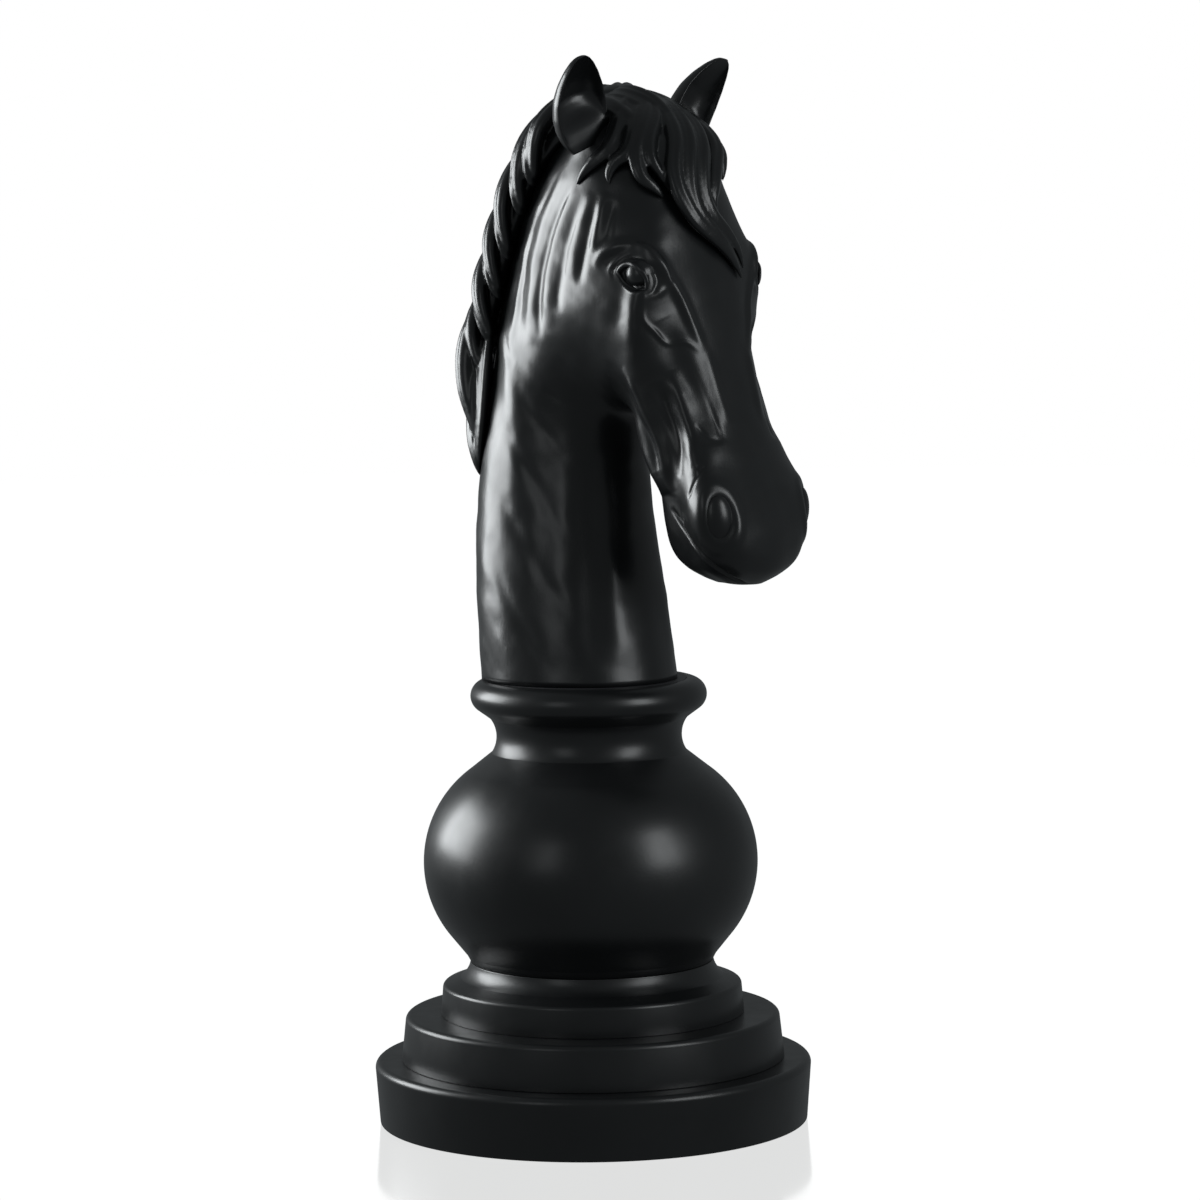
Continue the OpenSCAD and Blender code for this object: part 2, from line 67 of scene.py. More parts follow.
def once_round(count):
    """Angles of a circle's points, starting at 0."""
    return np.arange(count) * 2 * math.pi / count


def add_object(name, data):
    """New object in the scene."""
    thing = bpy.data.objects.new(name, data)
    bpy.context.scene.collection.objects.link(thing)
    return thing


def shade_smooth(mesh):
    mesh.polygons.foreach_set("use_smooth", [True] * len(mesh.polygons))


def add_mesh(name, points, faces, material, flip=False):
    """Smooth-shaded mesh object; flip turns its faces over, for shapes mirrored to the other side."""
    mesh = bpy.data.meshes.new(name)
    if flip:
        faces = [face[::-1] for face in faces]
    mesh.from_pydata(points.tolist(), [], faces)
    shade_smooth(mesh)
    mesh.materials.append(material)
    mesh.update()
    return add_object(name, mesh)


def grid_faces(rings, columns, closed=False):
    """Quads of a grid whose columns close on themselves; if closed, its last ring meets its first."""
    faces = []
    for ring in range(rings if closed else rings - 1):
        low = ring * columns
        high = (ring + 1) % rings * columns
        for column in range(columns):
            after = (column + 1) % columns
            faces.append([low + column, low + after, high + after, high + column])
    return faces


def closed_grid(grid):
    """A tube of rings with its two ends closed by a centre point."""
    rings, columns = grid.shape[:2]
    points = np.concatenate([grid.reshape(-1, 3), grid[0].mean(0)[None], grid[-1].mean(0)[None]])
    faces = grid_faces(rings, columns)
    first = rings * columns
    for column in range(columns):
        after = (column + 1) % columns
        faces.append([first, after, column])
        faces.append([first + 1, (rings - 1) * columns + column, (rings - 1) * columns + after])
    return points, faces


def place(piece, body, slot, *nodes):
    """Puts a piece on its body, in the place of the CAD nodes that it shows."""
    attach(piece, body)
    if nodes:
        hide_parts(*nodes)
    return piece


FUSE_VOXEL = 1.35
FUSE_SMOOTH_STEPS = 3


def fuse(piece):
    """Melts overlapping strands into one moulded skin."""
    remesh = piece.modifiers.new("fuse", "REMESH")
    remesh.mode = "VOXEL"
    remesh.voxel_size = FUSE_VOXEL * MM
    remesh.use_smooth_shade = True
    soften = piece.modifiers.new("soften", "SMOOTH")
    soften.factor = 0.5
    soften.iterations = FUSE_SMOOTH_STEPS
    apply_modifiers(piece)


def apply_modifiers(piece):
    """Bakes the modifiers of a piece into its mesh."""
    graph = bpy.context.evaluated_depsgraph_get()
    mesh = bpy.data.meshes.new_from_object(piece.evaluated_get(graph))
    piece.modifiers.clear()
    old = piece.data
    piece.data = mesh
    bpy.data.meshes.remove(old)
    shade_smooth(mesh)


# ---------------------------------------------------------------- materials

def principled(name):
    material = bpy.data.materials.new(name)
    material.use_nodes = True
    nodes = material.node_tree.nodes
    return material, nodes, material.node_tree.links, nodes["Principled BSDF"]


def object_place(nodes):
    return nodes.new("ShaderNodeTexCoord").outputs["Object"]


def add_node(nodes, kind, **settings):
    """New shader node with inputs set by name, an underscore standing for a space."""
    node = nodes.new(kind)
    for name, value in settings.items():
        node.inputs[name.replace("_", " ")].default_value = value
    return node


def noise(nodes, links, coordinate, scale, detail, roughness=0.5):
    texture = add_node(nodes, "ShaderNodeTexNoise", Scale=scale, Detail=detail, Roughness=roughness)
    links.new(coordinate, texture.inputs["Vector"])
    return texture.outputs["Fac"]


# The middle band of a noise value, where nearly all of it lies.
NOISE_LOW = 0.3
NOISE_HIGH = 0.7


def remap(nodes, links, value, low, high):
    """Spreads the middle band of a noise over low to high."""
    node = add_node(nodes, "ShaderNodeMapRange", From_Min=NOISE_LOW, From_Max=NOISE_HIGH, To_Min=low,
                    To_Max=high)
    links.new(value, node.inputs["Value"])
    return node.outputs["Result"]


def bump(nodes, links, height, distance, strength, normal=None):
    node = add_node(nodes, "ShaderNodeBump", Distance=distance, Strength=strength)
    links.new(height, node.inputs["Height"])
    if normal is not None:
        links.new(normal, node.inputs["Normal"])
    return node.outputs["Normal"]


def two_tone(nodes, links, value, dark, light, start=0.0, end=1.0):
    """Colour that runs from dark to light as the value runs from start to end."""
    ramp = nodes.new("ShaderNodeValToRGB")
    first, last = ramp.color_ramp.elements
    first.color = (*dark, 1)
    last.color = (*light, 1)
    first.position = start
    last.position = end
    links.new(value, ramp.inputs["Fac"])
    return ramp.outputs["Color"]


def stretched(nodes, links, coordinate, scale):
    mapping = add_node(nodes, "ShaderNodeMapping", Scale=scale)
    links.new(coordinate, mapping.inputs["Vector"])
    return mapping.outputs["Vector"]


BLACK_DEEP = (0.0060, 0.0068, 0.0074)
BLACK_WORN = (0.0105, 0.0115, 0.0122)
STROKE_STRETCH = (260.0, 260.0, 34.0)


def satin_black(name, roughness, brushed):
    """Moulded black resin: satin, with soft wear in its gloss and a fine orange-peel skin.

    brushed is the strength of the modelling strokes in it, or 0 for none."""
    material, nodes, links, shader = principled(name)
    where = object_place(nodes)
    tone = noise(nodes, links, where, 9.0, 4.0)
    colour = two_tone(nodes, links, tone, BLACK_DEEP, BLACK_WORN, 0.35, 0.68)
    links.new(colour, shader.inputs["Base Color"])
    gloss = noise(nodes, links, where, 26.0, 5.0, 0.6)
    spread = remap(nodes, links, gloss, roughness - 0.035, roughness + 0.045)
    links.new(spread, shader.inputs["Roughness"])
    shader.inputs["Specular IOR Level"].default_value = 0.5
    shader.inputs["IOR"].default_value = 1.5
    shader.inputs["Coat Weight"].default_value = 0.12
    shader.inputs["Coat Roughness"].default_value = 0.22
    peel = noise(nodes, links, where, 420.0, 2.0)
    normal = bump(nodes, links, peel, 0.0002, 0.10)
    if brushed:
        drawn_out = stretched(nodes, links, where, STROKE_STRETCH)
        strokes = noise(nodes, links, drawn_out, 1.0, 4.0, 0.65)
        normal = bump(nodes, links, strokes, 0.0006, brushed, normal)
        patches = noise(nodes, links, where, 62.0, 3.0)
        normal = bump(nodes, links, patches, 0.0012, brushed, normal)
    links.new(normal, shader.inputs["Normal"])
    return material


def moulded(name, colour, roughness, grain_scale, grain):
    """Plain grained plastic or rubber."""
    material, nodes, links, shader = principled(name)
    where = object_place(nodes)
    tone = noise(nodes, links, where, 14.0, 4.0)
    darker = [value * 0.75 for value in colour]
    lighter = [value * 1.25 for value in colour]
    links.new(two_tone(nodes, links, tone, darker, lighter), shader.inputs["Base Color"])
    grainy = noise(nodes, links, where, grain_scale, 3.0)
    links.new(remap(nodes, links, grainy, roughness - 0.06, roughness + 0.06), shader.inputs["Roughness"])
    links.new(bump(nodes, links, grainy, 0.0005, grain), shader.inputs["Normal"])
    return material


def zinc_plate(name):
    """Zinc-plated steel with a fine spangle and long scratches."""
    material, nodes, links, shader = principled(name)
    where = object_place(nodes)
    spangle = add_node(nodes, "ShaderNodeTexVoronoi", Scale=320.0)
    links.new(where, spangle.inputs["Vector"])
    colour = two_tone(nodes, links, spangle.outputs["Distance"], (0.48, 0.49, 0.51), (0.66, 0.67, 0.69))
    links.new(colour, shader.inputs["Base Color"])
    shader.inputs["Metallic"].default_value = 1.0
    scratches = noise(nodes, links, stretched(nodes, links, where, (900.0, 900.0, 60.0)), 1.0, 3.0)
    links.new(remap(nodes, links, scratches, 0.26, 0.44), shader.inputs["Roughness"])
    links.new(bump(nodes, links, scratches, 0.0002, 0.15), shader.inputs["Normal"])
    return material


def packed_sand(name):
    """Rough, grainy sand, as it fills the ballast space."""
    material, nodes, links, shader = principled(name)
    where = object_place(nodes)
    grains = noise(nodes, links, where, 1400.0, 4.0, 0.7)
    colour = two_tone(nodes, links, grains, (0.30, 0.22, 0.12), (0.62, 0.50, 0.33))
    links.new(colour, shader.inputs["Base Color"])
    shader.inputs["Roughness"].default_value = 0.95
    links.new(bump(nodes, links, grains, 0.001, 0.6), shader.inputs["Normal"])
    return material


MATERIALS = {
    TURNED: satin_black("turned_black", 0.34, 0.0),
    CARVED: satin_black("carved_black", 0.31, 0.10),
    "black_fitting": moulded("fitting_black", (0.016, 0.016, 0.018), 0.45, 900.0, 0.25),
    "rubber": moulded("foot_rubber", (0.012, 0.012, 0.012), 0.75, 700.0, 0.4),
    "grey_moulding": moulded("inner_grey", (0.045, 0.046, 0.050), 0.5, 600.0, 0.3),
    "zinc_steel": zinc_plate("zinc"),
    "sand_fill": packed_sand("sand"),
}


def dress_cad_nodes():
    """Gives every carried-over CAD node the material of its slot."""
    slots = {row["node"]: row["material_slot"] for row in frame["record"]["subparts"]}
    for node, piece in frame["nodes"].items():
        piece.data.materials.clear()
        piece.data.materials.append(MATERIALS[slots[node]])


# ---------------------------------------------------------------- turned base

def arc(r, z, radius, start, end, steps):
    """Points on an arc about (r, z), from the start angle to the end angle in degrees."""
    angles = np.radians(np.linspace(start, end, steps + 1))
    return [(r + radius * math.cos(a), z + radius * math.sin(a)) for a in angles]


def lathe(name, outline, columns=288):
    """Closed solid of revolution from a closed (r, z) outline in millimetres."""
    rz = np.array(outline)
    angle = once_round(columns)
    grid = np.stack([rz[:, :1] * np.cos(angle), rz[:, :1] * np.sin(angle),
                     np.repeat(rz[:, 1:], columns, 1)], -1)
    faces = grid_faces(len(rz), columns, closed=True)
    return add_mesh(name, grid.reshape(-1, 3) * MM, faces, MATERIALS[TURNED])


def filleted(points, radius, steps=3):
    """Rounds every corner of a closed outline, starting up to radius away from it."""
    most = 0.45    # share of an edge that one rounding may take
    rounded = []
    count = len(points)
    for index in range(count):
        before, here, after = (np.array(points[(index + k) % count], float) for k in (-1, 0, 1))
        back, ahead = before - here, after - here
        a = here + back * min(radius / np.linalg.norm(back), most)
        b = here + ahead * min(radius / np.linalg.norm(ahead), most)
        for t in np.linspace(0, 1, steps + 1):
            rounded.append(tuple((1 - t) ** 2 * a + 2 * t * (1 - t) * here + t * t * b))
    return rounded


def cut_hole(piece, centre, axis, radius, length):
    """Drills a round hole through a piece and keeps the result as its mesh."""
    mesh = bpy.data.meshes.new("drill")
    shape = bmesh.new()
    bmesh.ops.create_cone(shape, cap_ends=True, segments=64, radius1=radius * MM, radius2=radius * MM,
                          depth=length * MM)
    shape.to_mesh(mesh)
    shape.free()
    drill = add_object("drill", mesh)
    turn = Vector((0, 0, 1)).rotation_difference(Vector(axis)).to_matrix().to_4x4()
    drill.matrix_world = Matrix.Translation(Vector(centre) * MM) @ turn
    bpy.context.view_layer.update()
    cut = piece.modifiers.new("cut", "BOOLEAN")
    cut.object = drill
    cut.solver = "EXACT"
    apply_modifiers(piece)
    bpy.data.objects.remove(drill)
    bpy.data.meshes.remove(mesh)


def middle_of(node):
    """Centre of a CAD node's box in millimetres, in the frame's own axes."""
    low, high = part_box(node)
    return (low + high) / 2 / MM


PLUG_HOLE_R = 16
PLUG_HOLE_LENGTH = 60


def make_lower_tier():
    """Lowest step of the base, with its ballast space, hand well and fill hole."""
    outline = [(179, 1.5), (184, 1.5)] + arc(181.5, 49, 6, 0, 90, 10) + [(6.6, 55), (6.6, 50)]
    outline += [(58, 50), (58, 8), (62.5, 8), (62.5, 50), (179, 50), (182.5, 46), (180, 19)]
    outline += [(162, 17), (162, 8), (179, 8)]
    piece = lathe("step_lower", filleted(outline, 0.8))
    plug = middle_of("plug_seal")
    cut_hole(piece, (0, plug.y - 8, plug.z), (0, 1, 0), PLUG_HOLE_R, PLUG_HOLE_LENGTH)
    return place(piece, "plinth", TURNED, "lower_tier")


def make_middle_tier():
    """Middle step, a shell that is open underneath."""
    outline = [(141, 55), (164.7, 55)] + arc(156, 89, 5, 0, 90, 10)
    outline += [(60, 94), (60, 89), (152.5, 89), (156, 86), (156.5, 60), (141, 60)]
    return place(lathe("step_middle", filleted(outline, 0.8)), "plinth", TURNED, "middle_tier")


def make_upper_tier():
    """Upper step with the cove that sweeps in to the waist and the socket for the bulb."""
    outline = [(109, 94), (130.3, 94)] + arc(124.5, 117, 4, 0, 80, 8)
    outline += arc(125.2, 142.8, 21, 235, 189, 14)
    outline += [(103.8, 139.6), (80.1, 139.6), (80.1, 112), (84.5, 112), (84.5, 133.6)]
    outline += [(99, 133.6), (108, 121), (124, 112), (124, 99), (109, 99)]
    return place(lathe("step_upper", filleted(outline, 0.5)), "plinth", TURNED, "upper_tier")


def make_bulb():
    """Hollow bulb, its neck and the rolled collar on top."""
    outline = [(80, 140.1), (97, 140.1), (99, 139.9), (104.2, 139.9), (107.4, 146)]
    outline += arc(45.5, 225, 97.8, -38, 54, 60)
    outline += arc(105.4, 333.5, 26, 213, 142, 30) + arc(87.5, 368.3, 13.7, -50, 88, 26)
    outline += [(84, 382), (84, 376), (76, 376), (76, 370)] + arc(105.4, 333.5, 30, 142, 213, 12)
    outline += arc(45.5, 225, 93.8, 54, -44, 30) + [(94, 153.6), (89, 145.6), (80, 145.6)]
    piece = lathe("bulb_turned", filleted(outline, 0.6, 2), 256)
    return place(piece, "body_section", TURNED, "bulb_shell")


# ---------------------------------------------------------------- horse: smooth skin

# Stations along the bent tube of neck and head, from the collar over the poll to the lips:
# crest-side point and throat-side point as (forward, up), then half widths at WIDTH_AT.
WIDTH_AT = (0.06, 0.20, 0.38, 0.56, 0.75, 0.92)
STATIONS = (
    ((-94, 382), (77, 382), (40, 66, 80, 80, 68, 44)),
    ((-100, 440), (69, 438), (38, 64, 78, 78, 67, 43)),
    ((-103, 505), (60, 500), (35, 59, 72, 72, 63, 40)),
    ((-98, 570), (55, 552), (32, 54, 66, 66, 58, 36)),
    ((-89, 635), (53, 586), (28, 50, 62, 65, 57, 34)),
    ((-76, 700), (55, 602), (27, 46, 60, 66, 59, 36)),
    ((-56, 762), (59, 608), (28, 46, 60, 68, 62, 38)),
    ((-28, 820), (63, 610), (31, 50, 63, 71, 66, 40)),
    ((12, 860), (66, 610), (36, 58, 70, 74, 68, 42)),
    ((60, 874), (70, 609), (40, 66, 76, 77, 70, 42)),
    ((102, 848), (75, 606), (40, 66, 78, 78, 70, 40)),
    ((126, 805), (80, 603), (38, 62, 74, 77, 68, 38)),
    ((141, 761), (85, 599), (44, 75, 82, 75, 66, 36)),
    ((148, 719), (89, 593), (36, 56, 68, 71, 62, 33)),
    ((155, 678), (92, 584), (34, 50, 60, 66, 58, 30)),
    ((165, 637), (95, 572), (34, 48, 55, 58, 50, 28)),
    ((178, 599), (98, 558), (38, 52, 54, 52, 46, 28)),
    ((191, 565), (100, 541), (48, 64, 60, 50, 44, 29)),
    ((203, 535), (102, 520), (50, 66, 64, 50, 42, 29)),
    ((207, 506), (106, 501), (38, 52, 56, 46, 38, 27)),
    ((202, 484), (118, 486), (26, 38, 42, 38, 30, 20)),
    ((186, 472), (142, 474), (10, 17, 20, 18, 14, 8)),
)
LAST_ROW = len(STATIONS) - 1
THROAT = len(WIDTH_AT) + 1
COLUMNS = 2 * THROAT
FOOT_Z = 382.3        # underside of the neck, a hair above the collar
HOLLOW_FLOOR_Z = 396
NECK_MOUTH_R = 57
SKIN_INSET = 0.085    # share of a station's depth that the wall takes on each side
SKIN_ROWS = 408
SKIN_COLUMNS = 108    # from crest to throat
INNER_ROWS = 26
CHAMFER = 0.3


def station_ring(station, inset):
    """Closed ring of control points: crest, right side, throat, left side, drawn in by inset."""
    crest, throat = np.array(station[0], float), np.array(station[1], float)
    crest, throat = crest + inset * (throat - crest), throat + inset * (crest - throat)
    right = []
    for share, width in zip(WIDTH_AT, station[2]):
        right.append((-width * (1 - 2 * inset), *(crest + (throat - crest) * share)))
    left = [(-x, forward, up) for x, forward, up in reversed(right)]
    return [(0, *crest), *right, (0, *throat), *left]


def control_net(inset=0.0):
    """Control points pushed out so that the smooth skin passes close to the stations."""
    net = np.array([station_ring(station, inset) for station in STATIONS])
    along = net.copy()
    along[1:-1] = (net[:-2] + 4 * net[1:-1] + net[2:]) / 6
    net = 2 * net - (np.roll(along, 1, 1) + 4 * along + np.roll(along, -1, 1)) / 6
    return np.concatenate([2 * net[:1] - net[1:2], net, 2 * net[-1:] - net[-2:-1]])


def spline_weights(f):
    """Cubic B-spline weights of four neighbours, a share f of the way from the second to the third."""
    return ((1 - f) ** 3 / 6, (3 * f ** 3 - 6 * f ** 2 + 4) / 6,
            (-3 * f ** 3 + 3 * f ** 2 + 3 * f + 1) / 6, f ** 3 / 6)


def skin_at(net, row, column):
    """Points of the cubic B-spline skin.

    Row 0 is the collar and LAST_ROW the lips. Column 0 is the crest, THROAT the throat, and columns
    below 0 lie on the left side."""
    row, column = np.broadcast_arrays(np.asarray(row, float), np.asarray(column, float))
    low = np.clip(np.floor(row).astype(int), 0, LAST_ROW - 1)
    left = np.floor(column).astype(int)
    down, around = spline_weights(row - low), spline_weights(column - left)
    points = np.zeros(row.shape + (3,))
    for a in range(4):
        for b in range(4):
            points += (down[a] * around[b])[..., None] * net[low + a, (left + b - 1) % COLUMNS]
    return points


def unit(vectors):
    return vectors / np.maximum(np.linalg.norm(vectors, axis=-1, keepdims=True), 1e-9)


def skin_frame(net, row, column):
    """Point and outward normal of the skin."""
    step = 0.03    # of a row or a column, for the slope
    along = skin_at(net, row + step, column) - skin_at(net, row - step, column)
    around = skin_at(net, row, column + step) - skin_at(net, row, column - step)
    return skin_at(net, row, column), unit(np.cross(along, around))


def grid_normals(grid):
    """Outward normals of a grid whose columns close on themselves."""
    along = np.gradient(grid, axis=0)
    around = np.roll(grid, -1, 1) - np.roll(grid, 1, 1)
    return unit(np.cross(along, around))


def eased(places, density, count):
    """count + 1 positions from the first place to the last, closer where density is high."""
    fine = np.linspace(places[0], places[-1], 4000)
    weight = np.interp(fine, places, density)
    total = np.concatenate([[0], np.cumsum((weight[1:] + weight[:-1]) / 2)])
    return np.interp(np.linspace(0, total[-1], count + 1), total, fine)


# ---------------------------------------------------------------- horse: sculpting

def smoothstep(t):
    return t ** 2 * (3 - 2 * t)


def smooth_route(points, steps=8):
    """Smooth curve through given points; extra values of a point are carried along."""
    p = np.array(points, float)
    p = np.concatenate([2 * p[:1] - p[1:2], p, 2 * p[-1:] - p[-2:-1]])
    curve = []
    for a, b, c, d in zip(p[:-3], p[1:-2], p[2:-1], p[3:]):
        for t in np.arange(steps) / steps:
            curve.append(0.5 * (2 * b + (c - a) * t + (2 * a - 5 * b + 4 * c - d) * t ** 2
                                + (3 * b - a - 3 * c + d) * t ** 3))
    return np.array(curve + [p[-2]])


def nearest(points, route):
    """Distance from each point to a route, and the share of the route where it is nearest."""
    best = np.full(len(points), 1e9)
    share = np.zeros(len(points))
    for index, (start, end) in enumerate(zip(route[:-1], route[1:])):
        step = end - start
        t = np.clip((points - start) @ step / (step @ step), 0, 1)
        away = np.linalg.norm(points - start - t[:, None] * step, axis=1)
        closer = away < best
        best[closer] = away[closer]
        share[closer] = (index + t[closer]) / (len(route) - 1)
    return best, share


def stroke(points, route, width, height, sideways=1.0):
    """Soft ridge (or groove, if height is negative) along a route, fading at both ends.

    sideways below 1 makes distances across the horse count less, for strokes on its flat sides."""
    curve = smooth_route(route)
    scale = np.array([sideways, 1, 1])
    reach = 3 * width
    close = np.all((points > curve.min(0) - reach / scale) & (points < curve.max(0) + reach / scale), 1)
    amount = np.zeros(len(points))
    if close.any():
        away, share = nearest(points[close] * scale, curve * scale)
        fade = np.clip(np.minimum(share, 1 - share) * 5, 0, 1) ** 0.7
        amount[close] = height * fade * np.exp(-(away / width) ** 2)
    return amount


def mound(points, centre, radius, height):
    """Soft round swelling, or hollow if height is negative."""
    away = np.linalg.norm(points - np.array(centre, float), axis=1)
    return height * np.exp(-(away / radius) ** 2)


def ripples(points, wavelength, height, seed):
    """Faint unevenness of a hand-modelled surface."""
    rng = np.random.default_rng(seed)
    total = np.zeros(len(points))
    for _ in range(14):
        direction = unit(rng.normal(size=3)) * 2 * math.pi / (wavelength * rng.uniform(0.7, 1.5))
        total += np.sin(points @ direction + rng.uniform(0, 2 * math.pi))
    return height * total / math.sqrt(7)


# Broad forms of skull and neck on the right side: centre (across, forward, up), radius, height.
MOUNDS = (
    ((-68, 114, 731), 19, 3.4),       # orbit
    ((-62, 102, 786), 16, -2.2),      # temple hollow
    ((-76, 60, 696), 38, 2.4),        # cheek
    ((-60, 52, 846), 17, 4.0),        # root of the ear
    ((-57, 190, 530), 22, 2.2),       # flare of the nostril
    ((-38, 192, 496), 14, 1.2),       # upper lip
    ((-22, 146, 480), 14, 1.6),       # chin
    ((-62, 30, 650), 26, -0.8),       # hollow behind the jaw
)
# Strokes on the right side: route, width, height, and how much distance across counts.
BROAD_STROKES = (
    (((-70, 106, 694), (-62, 118, 668), (-52, 137, 636), (-45, 156, 596)), 10, 2.0, 1),
    (((-60, 133, 692), (-50, 146, 655), (-42, 160, 622), (-42, 172, 588)), 11, -2.0, 1),
    (((-44, 62, 622), (-46, 84, 606), (-44, 102, 590), (-42, 116, 570), (-38, 124, 548)), 14, 8.0, 1),
    (((-70, 100, 652), (-66, 112, 632), (-58, 122, 604), (-52, 130, 574), (-47, 131, 546)), 5, 2.6, 1),
    (((-62, 92, 634), (-58, 106, 612), (-53, 118, 590), (-47, 125, 562)), 4, -1.8, 1),
    (((-56, 140, 650), (-50, 149, 618), (-53, 158, 594), (-60, 167, 564)), 6, 2.8, 0.8),
    (((-62, 128, 640), (-57, 137, 616), (-54, 145, 592), (-53, 149, 562)), 5, -2.2, 0.8),
    (((-52, 42, 575), (-54, 44, 520), (-56, 48, 460), (-58, 52, 400)), 9, -3.0, 0.5),
    (((-34, 56, 580), (-34, 60, 520), (-36, 64, 460), (-38, 70, 400)), 12, 2.0, 1),
    (((-60, -52, 690), (-64, -30, 640), (-67, -20, 585), (-70, -20, 520)), 14, 2.4, 0.5),
    (((-70, 8, 640), (-68, 14, 590), (-70, 12, 520), (-72, 8, 450)), 12, -1.6, 0.5),
    (((-58, 17, 810), (-53, -15, 757), (-56, -28, 707), (-59, -33, 664)), 6, 1.2, 0.5),
    (((-60, 24, 813), (-56, -8, 768), (-57, -21, 720), (-60, -20, 690)), 4, -1.0, 0.5),
    (((-62, 34, 812), (-61, 8, 770), (-62, -4, 724), (-64, -4, 668)), 8, 1.8, 0.5),
    (((-68, 48, 803), (-67, 21, 762), (-67, 8, 715), (-67, 10, 676)), 4, -1.7, 0.5),
    (((-71, 52, 800), (-70, 30, 758), (-70, 20, 715), (-70, 24, 684)), 7, 1.6, 0.5),
    (((-74, 64, 791), (-75, 47, 758), (-73, 35, 715), (-70, 36, 698)), 5, -1.3, 0.5),
    (((-74, 72, 796), (-77, 58, 762), (-76, 50, 724)), 7, 1.0, 0.5),
    (((-74, 80, 794), (-79, 73, 764), (-79, 66, 744), (-76, 60, 720)), 5, -1.8, 0.5),
    (((-72, 84, 796), (-79, 80, 768), (-79, 77, 746)), 6, 2.4, 0.5),
    (((-70, 92, 790), (-77, 91, 772), (-79, 90, 756)), 4, -1.4, 0.5),
)
FINE_STROKES = (
    (((-80, 78, 736), (-79, 90, 748), (-74, 112, 754), (-67, 128, 748), (-56, 138, 727), (-44, 143, 706),
      (-36, 149, 684), (-29, 155, 664)), 4.5, 3.2, 1),
    (((-80, 90, 738), (-79, 102, 744), (-74, 119, 745), (-68, 130, 735), (-60, 136, 716)), 3.4, -1.8, 1),
    (((-76, 128, 716), (-74, 125, 704), (-73, 125, 692), (-65, 130, 682), (-56, 137, 672), (-44, 146, 673),
      (-32, 154, 664)), 2.0, 1.5, 1),
    (((-73, 124, 694), (-74, 120, 681), (-73, 116, 668), (-70, 115, 657)), 2.0, 1.4, 1),
    (((-28, 154, 668), (-25, 163, 635), (-23, 173, 605)), 5, 1.4, 1),
    (((-50, 160, 606), (-43, 169, 594), (-34, 176, 592)), 1.8, -0.9, 1),
    (((-47, 148, 664), (-38, 160, 634), (-34, 170, 604), (-34, 176, 592)), 1.8, -1.0, 1),
    (((-60, 163, 572), (-59, 168, 571), (-58, 173, 571)), 1.5, -1.0, 1),
    (((-57, 174, 574), (-60, 172, 566), (-64, 168, 556), (-65, 162, 546)), 1.5, -1.5, 1),
    (((-44, 130, 536), (-48, 141, 525), (-52, 153, 512), (-53, 167, 499), (-45, 177, 487), (-28, 182, 478),
      (0, 184, 474)), 1.9, -3.0, 1),
    (((-60, -50, 706), (-60, -45, 680), (-62, -34, 660), (-63, -24, 652)), 2.2, -1.8, 0.4),
    (((-68, 8, 634), (-66, 26, 620), (-62, 43, 602)), 4, -1.3, 0.4),
    (((-66, -22, 634), (-68, 0, 606), (-66, 20, 578), (-62, 40, 552)), 5, -1.1, 0.4),
    (((-66, -34, 600), (-70, -8, 564), (-70, 16, 524), (-64, 40, 490)), 5, -1.1, 0.4),
    (((-68, -36, 540), (-72, -8, 500), (-72, 20, 462), (-66, 44, 424)), 5.5, -1.0, 0.4),
    (((-72, -40, 480), (-76, -12, 440), (-76, 12, 408)), 5.5, -0.9, 0.4),
)

# The eye's opening: outer and inner corner, and how far the lids arch above and below that line.
EYE_OUTER = np.array((-79.0, 102.5, 731.0))
EYE_INNER = np.array((-75.0, 129.5, 716.8))
EYE_MIDDLE = (EYE_INNER + EYE_OUTER) / 2
EYE_HALF = np.linalg.norm(EYE_INNER - EYE_OUTER) / 2
EYE_UP = np.array((-0.12, 0.48, 0.87))
UPPER_LID_RISE = 13.5
LOWER_LID_DROP = 6.4
UPPER_LID_R = (EYE_HALF ** 2 + UPPER_LID_RISE ** 2) / (2 * UPPER_LID_RISE)
LOWER_LID_R = (EYE_HALF ** 2 + LOWER_LID_DROP ** 2) / (2 * LOWER_LID_DROP)
SOCKET_DEPTH = 5.0
LID_ON_BALL = 0.5     # how far the rim's centre line stays off the eyeball
LID_LEVEL = -0.9      # and its level where it runs out to the corners
LID_BLEND = 0.7       # how softly one gives way to the other
UPPER_RIM_SWELL = 1.1
LOWER_RIM_SWELL = 0.5
LID_STEPS = 160
RIM_STEPS = 20


def eye_axes():
    """Unit vectors along the line of the eye's corners, above that line, and outward."""
    along = unit(EYE_INNER - EYE_OUTER)
    above = unit(EYE_UP - along * (EYE_UP @ along))
    return along, above, unit(np.cross(above, along))


def lid_gaps(a, b):
    """Signed distances to the upper and lower lid arcs: negative inside the opening."""
    upper = np.hypot(a, b - (UPPER_LID_RISE - UPPER_LID_R)) - UPPER_LID_R
    lower = np.hypot(a, b - (LOWER_LID_R - LOWER_LID_DROP)) - LOWER_LID_R
    return upper, lower


def eye_socket(folded):
    """Almond socket pushed in round the eyeball, with a fold above it."""
    a, b, out = (np.dot(folded - EYE_MIDDLE, axis) for axis in eye_axes())
    upper, lower = lid_gaps(a, b)
    gap = np.maximum(upper, lower)
    is_upper = 1 / (1 + np.exp(-(upper - lower) / 1.5))
    near_eye = (np.hypot(a, b) < 32) & (np.abs(out) < 20)
    inside = np.clip((0.4 - gap) / 2.2, 0, 1)
    amount = -SOCKET_DEPTH * smoothstep(inside)
    amount -= 1.5 * is_upper * np.exp(-((gap - 4.6) / 1.2) ** 2)
    amount += 1.2 * is_upper * np.exp(-((gap - 7.6) / 2.2) ** 2)
    return np.where(near_eye, amount, 0)


